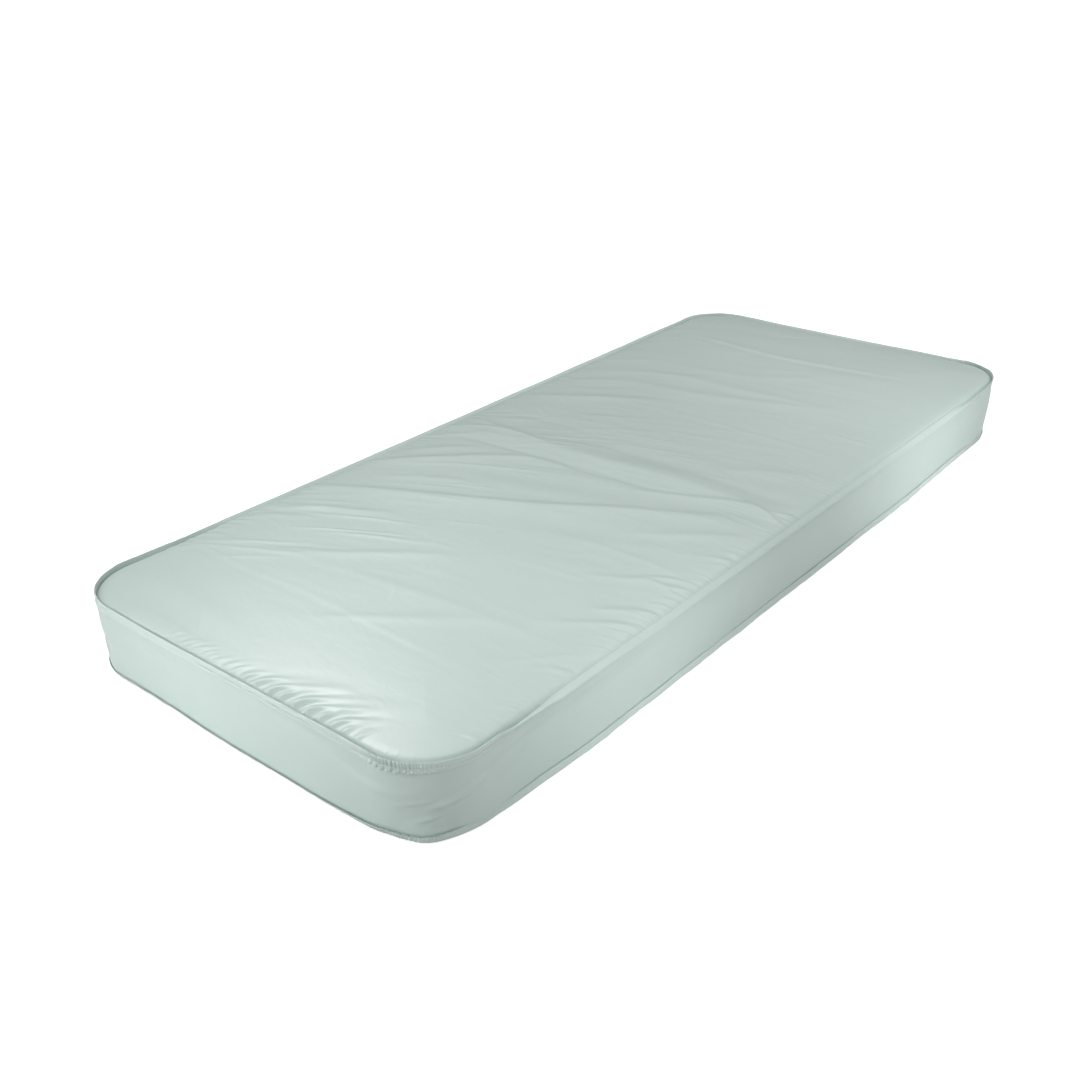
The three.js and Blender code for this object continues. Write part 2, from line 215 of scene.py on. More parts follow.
# ---------------------------------------------------------------- how the two seams lie
# (segment start, distance past it, degrees from upright, outwards)
TOP_TILT = [
    (HEAD, 0.05, 38), (HEAD, 0.35, 62), (HEAD, 0.62, 48), (HEAD_ZIP, 0.09, 20),
    (ZIP, 0.12, 42), (ZIP, 0.40, 58), (ZIP, 1.00, 60), (ZIP, 1.60, 54), (ZIP, 1.79, 18),
    (FOOT_ZIP, 0.09, 1), (FOOT, 0.05, 0), (FOOT, 0.25, 2), (FOOT, 0.42, 5), (FOOT, 0.60, 8),
    (FOOT_PLAIN, 0.09, 10), (PLAIN, 0.02, 20), (PLAIN, 0.10, 60), (PLAIN, 0.22, 116),
    (PLAIN, 0.50, 130), (PLAIN, 0.90, 126), (PLAIN, 1.30, 131), (PLAIN, 1.62, 118),
    (PLAIN, 1.80, 60), (PLAIN_HEAD, 0.06, 6), (PLAIN_HEAD, 0.14, 6),
]
BASE_TILT = [
    (HEAD, 0.2, 6), (HEAD_ZIP, 0.09, -6), (ZIP, 0.5, 8), (ZIP, 1.4, 4), (FOOT_ZIP, 0.09, -20),
    (FOOT, 0.10, -26), (FOOT, 0.35, -30), (FOOT, 0.60, -28), (FOOT_PLAIN, 0.06, -16),
    (FOOT_PLAIN, 0.15, 4), (PLAIN, 0.12, 12), (PLAIN, 0.6, 10), (PLAIN, 1.3, 12),
    (PLAIN, 1.8, 4), (PLAIN_HEAD, 0.1, -8),
]


def slim(pos):
    """1 where the upper tape lies close in the plane of the border, 0 where it stands off."""
    return np.maximum(span(pos, ZIP + 1.60, ZIP + 1.80, FOOT + 0.28, FOOT + 0.50),
                      corner(pos, PLAIN_HEAD, 0.16))


def low_lip(reach, pos):
    """Reach out of the upper seam: the tape stands lower along the zip half of the foot."""
    low = 0.12 * span(pos, FOOT - 0.07, FOOT + 0.02, FOOT + 0.26, FOOT + 0.60)
    return np.where(reach > 0.003, 0.003 + (reach - 0.003) * (1 - low), reach)


def top_tilt(pos):
    degrees = wrap_blend(pos, TOP_TILT)
    return np.radians(degrees + 3.5 * noise1(pos, 11, 0.11) + 2.0 * noise1(pos, 12, 0.035))


def seam_inset(pos):
    droop = ease(np.degrees(top_tilt(pos)), 25, 95)
    return (0.0030 + 0.0016 * droop + 0.0006 * noise1(pos, 13, 0.16)
            + 0.0024 * corner(pos, PLAIN_HEAD, 0.14))


def seam_z(pos):
    """Height of the upper seam: it shifts a little at three corners and rises with the tilt."""
    z = SEAM_Z + 0.0012 * noise1(pos, 14, 0.35) + 0.0005 * noise1(pos, 15, 0.09)
    z = z + 0.0018 * corner(pos, FOOT_ZIP, 0.14) + 0.0015 * corner(pos, PLAIN_HEAD, 0.12)
    z = z - 0.0010 * corner(pos, FOOT_PLAIN, 0.10)
    return z + 0.0050 * ease(np.degrees(top_tilt(pos)), 30, 110)


def base_radius(pos):
    return BASE_R - 0.004 * corner(pos, HEAD_ZIP) - 0.018 * corner(pos, FOOT_ZIP)


def kink(pos):
    """The lower seam of the plain foot corner comes to a blunt point, and is drawn in beside it."""
    return 0.0095 * bell(pos, PLAIN - 0.102, 0.032) - 0.0032 * bell(pos, PLAIN - 0.010, 0.038)


def base_tilt(pos):
    degrees = wrap_blend(pos, BASE_TILT)
    return np.radians(degrees + 3.0 * noise1(pos, 31, 0.12) + 1.5 * noise1(pos, 32, 0.04))


def base_inset(pos):
    spread = 0.0075 * span(pos, PLAIN + 0.06, PLAIN + 0.26, PLAIN + 1.45, PLAIN + 1.80)
    spread = spread + 0.0075 * span(pos, FOOT + 0.06, FOOT + 0.34, FOOT + 0.56, FOOT + 0.72)
    spread = spread + 0.0025 * span(pos, ZIP + 0.1, ZIP + 0.4, ZIP + 1.4, ZIP + 1.75)
    return 0.0042 - spread - kink(pos) + 0.0006 * noise1(pos, 33, 0.15)


def base_z(pos):
    return BASE_Z + 0.0006 * noise1(pos, 34, 0.20) + 0.0003 * noise1(pos, 35, 0.06)


def gather(pos, seed, pitch):
    """Pleats of the tape, -1..1, of uneven pitch, and their strength: full in the corners."""
    phase = (pos / pitch * 2 * math.pi + 2.4 * noise1(pos, seed, pitch * 3.1)
             + 1.3 * noise1(pos, seed + 1, pitch * 1.3))
    strength = np.max([corner(pos, SEG_START[k], 0.09) for k in (1, 3, 5, 7)], axis=0)
    return np.sin(phase), strength * (0.75 + 0.35 * noise1(pos, seed + 2, pitch * 2.2))


def seam_frame(pos, tilt, inset, radius, height, up):
    """Seam point, the direction out of the seam, and the outward direction across the tape."""
    seg, share = locate(pos)
    angle = normal_angle(seg, share)
    x, y = place(seg, share, inset, radius)
    sin, cos = np.sin(tilt), np.cos(tilt)
    out = np.stack([sin * np.cos(angle), sin * np.sin(angle), up * cos], -1)
    across = np.stack([cos * np.cos(angle), cos * np.sin(angle), -up * sin], -1)
    return np.stack([x, y, height], -1), out, across


def top_frame(pos):
    return seam_frame(pos, top_tilt(pos), seam_inset(pos), SEAM_R, seam_z(pos), 1)


def base_frame(pos):
    return seam_frame(pos, base_tilt(pos), base_inset(pos), base_radius(pos), base_z(pos), -1)


def seam_rows(pos, reaches, offset, top=True):
    """Rows of points out of a seam, set off across it."""
    seam, out, across = top_frame(pos) if top else base_frame(pos)
    lips = [low_lip(q, pos)[:, None] if top else q for q in reaches]
    return np.stack([seam + lip * out + offset * across for lip in lips], 0)


# ---------------------------------------------------------------- meshes from grids
def mesh_from(name, verts, quads, extra=()):
    """Smooth mesh of quads, then the extra polygons; vertices not in use are left out."""
    corners = np.concatenate([quads.ravel(), *extra])
    used = np.unique(corners)
    renumber = np.zeros(len(verts), int)
    renumber[used] = np.arange(len(used))
    totals = np.array([4] * len(quads) + [len(poly) for poly in extra])
    mesh = bpy.data.meshes.new(name)
    mesh.vertices.add(len(used))
    mesh.vertices.foreach_set("co", verts[used].astype(np.float32).ravel())
    mesh.loops.add(len(corners))
    mesh.loops.foreach_set("vertex_index", renumber[corners].astype(np.int32))
    mesh.polygons.add(len(totals))
    mesh.polygons.foreach_set("loop_start", (np.cumsum(totals) - totals).astype(np.int32))
    mesh.polygons.foreach_set("loop_total", totals.astype(np.int32))
    mesh.polygons.foreach_set("use_smooth", np.ones(len(totals), bool))
    mesh.update(calc_edges=True)
    mesh.validate()
    return link_object(name, mesh)


def link_object(name, data):
    ob = bpy.data.objects.new(name, data)
    SCENE.collection.objects.link(ob)
    return ob


def grid_faces(rows, cols, closed=True, close_rows=False):
    """Quads of a grid, one row of faces per row of points but the last unless close_rows."""
    here = np.arange(rows * cols).reshape(rows, cols)
    beside = np.roll(here, -1, axis=1)
    if not closed:
        here, beside = here[:, :-1], beside[:, :-1]
    faces = np.stack([here, beside, np.roll(beside, -1, axis=0), np.roll(here, -1, axis=0)], -1)
    return faces if close_rows else faces[:-1]


def grid_mesh(name, points, closed=True, close_rows=False, keep=None):
    """Mesh from points of shape (rows, cols, 3); keep masks the faces."""
    faces = grid_faces(*points.shape[:2], closed, close_rows)
    if keep is not None:
        faces = faces[keep]
    return mesh_from(name, points.reshape(-1, 3), faces.reshape(-1, 4))


def ring_object(name, points, counts, flip=False):
    """A ring grid whose innermost row is closed: quads across, and one polygon at each end."""
    rows, cols = points.shape[:2]
    n_long, n_end, n_arc = counts
    starts = np.concatenate([[0], np.cumsum([n_end, n_arc, n_long, n_arc] * 2)])
    inner = (rows - 1) * cols
    plain = inner + starts[6] + np.arange(n_long + 1)
    zip_side = inner + starts[2] + np.arange(n_long + 1)[::-1]
    across = np.stack([plain[:-1], plain[1:], zip_side[1:], zip_side[:-1]], -1)
    faces = np.concatenate([grid_faces(rows, cols).reshape(-1, 4), across])
    head = np.arange(starts[7], starts[8] + n_end + n_arc + 1) % cols
    ends = [inner + head, inner + np.arange(starts[3], starts[6] + 1)]
    if flip:
        faces, ends = faces[:, ::-1], [end[::-1] for end in ends]
    return mesh_from(name, points.reshape(-1, 3), faces, ends)


def thicken(ob, thickness):
    solid = ob.modifiers.new("thickness", "SOLIDIFY")
    solid.thickness = thickness
    solid.offset = -1.0
    solid.use_even_offset = False
    return ob


# ---------------------------------------------------------------- folds of the top panel
# Rows of (height, width on the foot side, width on the head side, line of points).
# Points are distances (from the foot end, from the zip side).
SHARP_FOLDS = [
    (0.0013, 0.007, 0.0045, [
        (0.2445, 0.027), (0.252, 0.09), (0.246, 0.195), (0.2535, 0.345), (0.2505, 0.495),
        (0.246, 0.645), (0.24, 0.81)]),
    (0.0036, 0.008, 0.012, [
        (1.893, 0.135), (1.878, 0.255), (1.8645, 0.39), (1.875, 0.525), (1.887, 0.63),
        (1.8945, 0.705)]),
]
SOFT_FOLDS = [
    # across the panel
    (0.0026, 0.016, 0.008, [
        (0.207, 0.444), (0.2475, 0.498), (0.3075, 0.585), (0.375, 0.6825), (0.396, 0.7575)]),
    (0.0012, 0.014, 0.009, [
        (0.294, 0.054), (0.333, 0.21), (0.36, 0.42), (0.381, 0.6), (0.39, 0.75), (0.393, 0.882)]),
    (0.0010, 0.010, 0.008, [(1.3575, 0.24), (1.368, 0.45), (1.362, 0.66), (1.356, 0.8775)]),
    # diagonal drape from the zip side
    (0.0026, 0.020, 0.012, [(0.333, 0.21), (0.393, 0.3075), (0.4575, 0.393), (0.525, 0.5025)]),
    (0.0022, 0.013, 0.009, [(0.405, 0.033), (0.435, 0.0825), (0.468, 0.1425)]),
    (0.0028, 0.016, 0.010, [(0.462, 0.039), (0.5025, 0.1125), (0.54, 0.195), (0.573, 0.255)]),
    (0.0062, 0.036, 0.014, [
        (0.576, 0.036), (0.618, 0.12), (0.66, 0.2175), (0.705, 0.3225), (0.7575, 0.435),
        (0.8175, 0.54), (0.87, 0.63), (0.918, 0.72), (0.96, 0.795)]),
    (0.0016, 0.016, 0.012, [(0.693, 0.105), (0.735, 0.18), (0.768, 0.255), (0.783, 0.345)]),
    (0.0048, 0.026, 0.013, [
        (0.747, 0.039), (0.795, 0.093), (0.852, 0.1575), (0.9075, 0.225), (0.948, 0.3),
        (0.966, 0.39)]),
    (0.0018, 0.014, 0.010, [(0.8175, 0.042), (0.885, 0.105), (0.93, 0.165)]),
    # the broad double fold at mid length
    (0.0056, 0.026, 0.050, [
        (1.002, 0.036), (1.008, 0.135), (1.023, 0.255), (1.035, 0.39), (1.041, 0.51),
        (1.047, 0.63), (1.047, 0.75), (1.041, 0.8625)]),
    (-0.0026, 0.010, 0.012, [
        (0.96, 0.105), (0.969, 0.24), (0.975, 0.375), (0.978, 0.495), (0.984, 0.6),
        (1.008, 0.69)]),
    (0.0030, 0.012, 0.008, [(1.002, 0.033), (1.035, 0.105), (1.041, 0.195), (1.035, 0.285)]),
    (0.0018, 0.010, 0.010, [(1.059, 0.045), (1.053, 0.12), (1.05, 0.195)]),
    (0.0036, 0.014, 0.009, [
        (0.96, 0.594), (0.99, 0.675), (1.02, 0.7575), (1.035, 0.822), (1.014, 0.885)]),
    (-0.0016, 0.020, 0.026, [(1.0995, 0.375), (1.1025, 0.525), (1.0995, 0.675), (1.089, 0.84)]),
    (-0.0012, 0.016, 0.016, [(1.134, 0.06), (1.146, 0.165), (1.152, 0.3)]),
    (0.0008, 0.018, 0.018, [(1.2, 0.225), (1.209, 0.345), (1.209, 0.45)]),
    # towards the head end
    (0.0030, 0.024, 0.013, [
        (1.263, 0.057), (1.302, 0.123), (1.35, 0.2025), (1.3875, 0.2775), (1.4175, 0.348)]),
    (0.0034, 0.026, 0.018, [
        (1.413, 0.072), (1.455, 0.1425), (1.485, 0.225), (1.497, 0.3375), (1.521, 0.45),
        (1.554, 0.555), (1.593, 0.6675)]),
    (0.0034, 0.018, 0.020, [
        (1.494, 0.084), (1.536, 0.135), (1.572, 0.2175), (1.59, 0.315), (1.587, 0.435),
        (1.599, 0.57), (1.608, 0.705)]),
    (0.0018, 0.018, 0.013, [(1.587, 0.039), (1.626, 0.099), (1.668, 0.165)]),
    (0.0018, 0.022, 0.018, [
        (1.65, 0.195), (1.668, 0.315), (1.689, 0.42), (1.74, 0.5025), (1.8, 0.5775)]),
    # the half by the plain side
    (0.0026, 0.010, 0.007, [(0.609, 0.726), (0.636, 0.78), (0.663, 0.8325), (0.654, 0.888)]),
    (0.0010, 0.012, 0.010, [(0.702, 0.555), (0.714, 0.69), (0.717, 0.795), (0.705, 0.888)]),
    (0.0022, 0.008, 0.006, [(0.66, 0.804), (0.684, 0.84), (0.702, 0.885)]),
    (0.0016, 0.016, 0.012, [(0.768, 0.66), (0.8175, 0.735), (0.885, 0.822), (0.918, 0.8775)]),
    (0.0026, 0.011, 0.008, [(0.282, 0.78), (0.333, 0.828), (0.378, 0.864), (0.393, 0.891)]),
    (0.0018, 0.013, 0.009, [(0.42, 0.75), (0.468, 0.8175), (0.516, 0.885)]),
    (0.0020, 0.009, 0.007, [(0.5175, 0.81), (0.543, 0.849), (0.558, 0.891)]),
    (0.0014, 0.022, 0.018, [(1.14, 0.66), (1.2, 0.75), (1.245, 0.84)]),
    # short folds by the foot end
    (0.0022, 0.008, 0.008, [(0.033, 0.294), (0.06, 0.258), (0.093, 0.228)]),
    (0.0026, 0.009, 0.009, [(0.042, 0.333), (0.075, 0.297), (0.117, 0.258)]),
    (0.0010, 0.012, 0.012, [(0.09, 0.225), (0.135, 0.177), (0.168, 0.144)]),
]
# faint creases: (number, x range, y range, length range, height range, width range)
FINE_CREASES = [
    (34, (-0.85, 0.05), (0.20, 0.445), (0.08, 0.26), (0.0004, 0.0012), (0.0040, 0.0085)),
    (34, (-0.70, 0.30), (-0.10, 0.25), (0.07, 0.22), (0.0003, 0.0008), (0.0040, 0.0090)),
    (36, (-0.85, 0.55), (-0.34, -0.10), (0.05, 0.16), (0.0003, 0.0009), (0.0035, 0.0080)),
    (30, (0.10, 0.95), (-0.05, 0.43), (0.08, 0.30), (0.0003, 0.0009), (0.0050, 0.0100)),
]


def placed_folds(folds):
    """Folds in x and y: soft by the foot, fullest at mid length, softer towards the head."""
    out = []
    for height, width_foot, width_head, points in folds:
        line = np.array([(-HALF_LEN + x, HALF_WID - y) for x, y in points])
        mid = float(line[:, 0].mean())
        gain = 0.58 + 0.52 * float(ease(mid, -0.72, -0.50)) - 0.48 * float(ease(mid, 0.10, 0.42))
        out.append((height * gain, width_foot, width_head, line))
    return out


def fine_creases():
    """Many faint creases that follow the lie of the large folds."""
    rand = np.random.RandomState(515)
    out = []

    def lie(y):
        """Slope of the drape: strong by the zip side, turning back by the plain side."""
        part = (HALF_WID - y) / (2 * HALF_WID)
        return 0.62 * (1 - part) ** 1.2 + 0.05 - 0.75 * max(0.0, part - 0.78)

    for number, x_range, y_range, lengths, heights, widths in FINE_CREASES:
        for _ in range(number):
            x, y = rand.uniform(*x_range), rand.uniform(*y_range)
            length, height, width = [rand.uniform(*r) for r in (lengths, heights, widths)]
            gain = rand.uniform(0.75, 1.3)
            lean = rand.uniform(-0.12, 0.12)
            points = [(x, y)]
            for _ in range(5):
                slope = lie(y) * gain + lean + rand.uniform(-0.06, 0.06)
                step = length / 5 / math.hypot(1, slope)
                x, y = x + slope * step, y - step
                points.append((x, y))
            out.append((height, width, width * rand.uniform(0.6, 1.2), points))
    # short wrinkles that cross the drape at a low angle
    for _ in range(26):
        x, y = rand.uniform(-0.75, 0.35), rand.uniform(-0.30, 0.35)
        angle = rand.uniform(0.9, 2.2)
        length = rand.uniform(0.04, 0.11)
        points = [(x, y)]
        for turn in (angle, angle + rand.uniform(-0.35, 0.35)):
            x, y = x + length / 2 * math.cos(turn), y - length / 2 * math.sin(turn)
            points.append((x, y))
        out.append((rand.uniform(0.0003, 0.0007), 0.0045, 0.0040, points))
    return out


def fold_height(x, y):
    """Height of all the folds at points x, y (1-D arrays)."""
    total = np.zeros(len(x))
    folds = [(False, fold) for fold in placed_folds(SOFT_FOLDS) + fine_creases()]
    folds += [(True, fold) for fold in placed_folds(SHARP_FOLDS)]
    for sharp, (height, width_foot, width_head, points) in folds:
        line = spline(points)
        reach = 3.2 * max(width_foot, width_head)
        low, high = line.min(0) - reach, line.max(0) + reach
        near = np.where((x > low[0]) & (x < high[0]) & (y > low[1]) & (y < high[1]))[0]
        if len(near) == 0:
            continue
        dist, offset_x, along, length = nearest(x[near], y[near], line)
        side = np.sign(offset_x + 1e-12)
        ratio = dist / np.where(side > 0, width_head, width_foot)
        taper = np.sin(np.pi * np.clip(0.06 + 0.88 * along / length, 0, 1)) ** 0.7
        wobble = 1 + 0.22 * noise1(along, 100 + int(abs(height) * 1e6) % 97, 0.07)
        if sharp:
            # a crest with a groove on its foot side
            groove = ((side * dist + 1.4 * width_foot) / (1.3 * width_foot)) ** 2
            profile = np.exp(-(ratio ** 1.4)) - 0.55 * np.exp(-groove)
        else:
            profile = np.exp(-(ratio ** 1.7))
        total[near] += height * taper * wobble * profile
    return total


# ---------------------------------------------------------------- gathers along the upper seam
# runs of gathers: (start, end, pitch, length, width, height, slope at the seam,
#                   slope further in, distance over which it turns, jitter, share left out)
FOOT_RUNS = [
    (FOOT + 0.02, FOOT + 0.17, 0.034, 0.030, 0.0070, 0.0006, -0.1, 0.3, 0.04, 0.35, 0.0),
    (FOOT + 0.17, FOOT + 0.34, 0.0165, 0.042, 0.0048, 0.0012, -0.15, 1.0, 0.035, 0.35, 0.0),
    (FOOT + 0.34, FOOT + 0.66, 0.0120, 0.022, 0.0034, 0.0007, -0.15, 1.0, 0.030, 0.35, 0.0),
]
CORNER_RUNS = [
    (SEG_START[k] - 0.02, SEG_START[k + 1] + 0.02, 0.0105, 0.018, 0.0034, height,
     0, 0, 0.04, 0.35, 0.0)
    for k, height in ((1, 0.0008), (3, 0.0003), (5, 0.0008), (7, 0.0008))
]
PLAIN_RUNS = [
    (PLAIN, PLAIN + 0.62, 0.0125, 0.046, 0.0037, 0.0017, -0.12, -0.50, 0.05, 0.6, 0.30),
    (PLAIN + 0.62, PLAIN + 1.25, 0.0150, 0.040, 0.0040, 0.0012, -0.12, -0.40, 0.05, 0.6, 0.40),
    (PLAIN + 1.25, PLAIN + 1.88, 0.0200, 0.028, 0.0044, 0.0006, -0.10, -0.30, 0.05, 0.6, 0.45),
]
ZIP_HEAD_RUNS = [
    (ZIP + 0.02, ZIP + 0.85, 0.024, 0.045, 0.0060, 0.0012, -0.6, -0.45, 0.04, 0.35, 0.0),
    (ZIP + 0.85, ZIP + 1.80, 0.019, 0.055, 0.0058, 0.0018, -0.7, -0.45, 0.04, 0.35, 0.0),
    (HEAD + 0.02, HEAD + 0.65, 0.021, 0.036, 0.0060, 0.0010, 0.0, 0.1, 0.04, 0.35, 0.0),
]
# the deep gathers of the foot end: (distance past FOOT, length, width, height, slope further in)
FOOT_DEEP = [
    (0.345, 0.045, 0.0060, 0.0018, 1.2), (0.372, 0.060, 0.0070, 0.0028, 1.3),
    (0.400, 0.085, 0.0080, 0.0038, 1.5), (0.433, 0.100, 0.0085, 0.0046, 1.6),
    (0.462, 0.090, 0.0080, 0.0042, 1.5), (0.492, 0.105, 0.0090, 0.0050, 1.5),
    (0.522, 0.095, 0.0085, 0.0046, 1.4), (0.552, 0.085, 0.0085, 0.0042, 1.3),
    (0.580, 0.070, 0.0075, 0.0034, 1.2), (0.607, 0.055, 0.0070, 0.0026, 1.0),
    (0.633, 0.040, 0.0060, 0.0018, 0.8),
]
# the same for the plain side: (distance past PLAIN, length, width, height)
PLAIN_DEEP = [
    (0.10, 0.06, 0.006, 0.0016), (0.225, 0.09, 0.007, 0.0024), (0.40, 0.10, 0.008, 0.0026),
    (0.455, 0.12, 0.008, 0.0028), (0.56, 0.10, 0.007, 0.0024), (0.70, 0.09, 0.008, 0.0020),
    (0.93, 0.08, 0.008, 0.0018),
]


def make_puckers():
    """Gathers as (pos, length, width, height, slope at the seam, slope further in, turn)."""
    rand = np.random.RandomState(21)
    out = []

    def scatter(runs):
        for pos, end, pitch, length, width, height, slope, slope_in, turn, jitter, skip in runs:
            while pos < end:
                gain = rand.uniform(0.45, 1.25)
                if rand.uniform() < skip:
                    pos += pitch * rand.uniform(0.5, 1.6)
                    continue
                out.append((
                    pos, length * rand.uniform(0.5, 1.4), width * rand.uniform(0.75, 1.3),
                    height * gain, slope + rand.uniform(-0.12, 0.12),
                    slope_in + rand.uniform(-0.20, 0.20), turn * rand.uniform(0.7, 1.3)))
                pos += pitch * rand.uniform(1 - jitter, 1 + jitter)

    scatter(FOOT_RUNS)
    for past, length, width, height, slope_in in FOOT_DEEP:
        out.append((FOOT + past, length, width, height, -0.25 + 0.1 * rand.uniform(-1, 1),
                    slope_in + 0.15 * rand.uniform(-1, 1), 0.045 * rand.uniform(0.8, 1.2)))
    scatter(CORNER_RUNS + PLAIN_RUNS)
    out += [(PLAIN + past, *size, -0.15, -0.60, 0.06) for past, *size in PLAIN_DEEP]
    scatter(ZIP_HEAD_RUNS)
    return out


def pucker_height(pos, depth):
    """Height of the gathers; pos is (n,), depth (distance in from the seam) is (rows, n)."""
    total = np.zeros(depth.shape)
    for centre, length, width, height, slope, slope_in, turn in make_puckers():
        offset = way_round(pos - centre)
        reach = 0.025 + max(abs(slope), abs(slope_in)) * length + 3.2 * width
        cols = np.where(np.abs(offset) < reach)[0]
        if len(cols) == 0:
            continue
        block = np.ix_(np.where(depth[:, 0] < length)[0], cols)
        inward = depth[block]
        bend = np.where(inward < turn, inward * inward / (2 * turn), inward - turn / 2)
        local = slope + (slope_in - slope) * np.clip(inward / turn, 0, 1)
        dist = offset[cols][None, :] - slope * inward - (slope_in - slope) * bend
        dist = dist / np.sqrt(1 + local ** 2)
        wide = width * (0.85 + 6.0 * inward)
        fade = (1 - np.exp(-inward / 0.0040)) * np.clip(1 - inward / length, 0, 1) ** 1.25
        # a crest between two unequal troughs
        crest = (np.exp(-np.abs(dist / wide) ** 1.8) - 0.45 * bell(dist, 1.7 * wide, wide)
                 - 0.30 * bell(dist, -1.7 * wide, wide))
        total[block] += height * fade * crest
    return total


# ---------------------------------------------------------------- top panel
# (distance in from the outline, height) of the panel over the foam, and of the sock under it
CROWN = np.array([
    (-0.010, 0.1440), (0.0044, 0.1500), (0.012, 0.1530), (0.030, 0.1550), (0.080, 0.1570),
    (0.160, 0.1583), (0.270, 0.1593), (0.400, 0.1598), (0.470, 0.1599)])
SOCK = np.array([
    (0.0, 0.1385), (0.0044, 0.1412), (0.012, 0.1456), (0.030, 0.1496), (0.080, 0.1524),
    (0.160, 0.1545), (0.270, 0.1561), (0.400, 0.1568), (0.470, 0.1568)])
TOP_COUNTS = (660, 236, 76)
BASE_COUNTS = (420, 150, 56)
CLOTH_HOLD = 0.24       # how softly the slack cloth is held to the foam
CLOTH_BEND = 20.0
PANEL_REACH = HALF_WID - 0.0105   # depth of the innermost row of a panel


def crown(inset):
    """Height of the panel against the distance in from the outline, a monotone curve."""
    keys, heights = CROWN[:, 0], CROWN[:, 1]
    gap = np.diff(keys)
    rise = np.diff(heights) / gap
    slope = np.concatenate([[rise[0]], 2 * rise[1:] * rise[:-1] / (rise[1:] + rise[:-1]),
                            [rise[-1] * 0.2]])
    inset = np.clip(inset, keys[0], keys[-1] - 1e-9)
    i = np.clip(np.searchsorted(keys, inset, side="right") - 1, 0, len(gap) - 1)
    part = (inset - keys[i]) / gap[i]
    rest = 1 - part
    return ((1 + 2 * part) * rest ** 2 * heights[i] + part * rest ** 2 * gap[i] * slope[i]
            + part * part * (3 - 2 * part) * heights[i + 1]
            - part * part * rest * gap[i] * slope[i + 1])


def cloth_slack():
    """Slack of the cover over the foam, as a grid of heights from a cloth simulation.

    A coarse copy of the panel, sewn down round its seam and held softly to the foam, is cut a
    little too large and let settle.
    """
    cols, rows, radius = 200, 86, 0.115
    grid_x = np.linspace(-HALF_LEN + 0.004, HALF_LEN - 0.004, cols)
    grid_y = np.linspace(-HALF_WID + 0.004, HALF_WID - 0.004, rows)
    x, y = np.meshgrid(grid_x, grid_y)
    past_x = np.abs(x) - (HALF_LEN - radius)
    past_y = np.abs(y) - (HALF_WID - radius)
    far = np.hypot(np.maximum(past_x, 0), np.maximum(past_y, 0))
    edge = np.where((past_x > 0) & (past_y > 0), radius - far,
                    np.minimum(HALF_LEN - np.abs(x), HALF_WID - np.abs(y)))
    z = crown(np.maximum(edge, 0.0))
    z = z + 0.0005 * noise2(x / 0.05, y / 0.14, 141) * ease(edge, 0.0, 0.05)
    points = np.stack([x, y, z], -1)
    ob = grid_mesh("slack_cloth", points, closed=False)
    points = points.reshape(-1, 3)

    # it starts at the size it was cut and is drawn in to the size of the foam
    ob.shape_key_add(name="Basis")
    key = ob.shape_key_add(name="cut")
    pull = np.array([0.95, 0.31])
    amount = 0.009 + 0.009 * noise2(points[:, 0] / 0.32, points[:, 1] / 0.26, 142)
    cut = points.copy()
    cut[:, :2] += (amount * (points[:, :2] @ pull))[:, None] * pull
    key.data.foreach_set("co", cut.astype(np.float32).ravel())
    for value, at_frame in ((1.0, 1), (0.0, 10)):
        key.value = value
        key.keyframe_insert("value", frame=at_frame)

    group = ob.vertex_groups.new(name="hold")
    edge = edge.reshape(-1)
    for low, high, weight in ((-9.0, 0.010, 1.0), (0.010, 0.020, 0.5), (0.020, 9.0, CLOTH_HOLD)):
        held = np.where((edge >= low) & (edge < high))[0]
        group.add([int(i) for i in held], weight, "REPLACE")

    cloth = ob.modifiers.new("cloth", "CLOTH")
    settings = dict(
        quality=5, mass=0.30, air_damping=1.0,
        tension_stiffness=40, compression_stiffness=40, shear_stiffness=12,
        bending_stiffness=CLOTH_BEND,
        tension_damping=5, compression_damping=5, shear_damping=5, bending_damping=0.5,
        vertex_group_mass="hold", pin_stiffness=1.0)
    for attribute, value in settings.items():
        setattr(cloth.settings, attribute, value)
    cloth.settings.effector_weights.gravity = 0.0
    cloth.collision_settings.use_collision = False
    cloth.collision_settings.use_self_collision = False
    cloth.point_cache.frame_start, cloth.point_cache.frame_end = 1, 40
    for k in range(1, 25):
        SCENE.frame_set(k)
    settled = ob.evaluated_get(bpy.context.evaluated_depsgraph_get())
    got = np.empty(len(points) * 3)
    settled.data.vertices.foreach_get("co", got)
    SCENE.frame_set(1)
    action = ob.data.shape_keys.animation_data.action
    bpy.data.objects.remove(ob)
    bpy.data.actions.remove(action)
    return grid_x, grid_y, (got.reshape(-1, 3)[:, 2] - points[:, 2]).reshape(rows, cols)


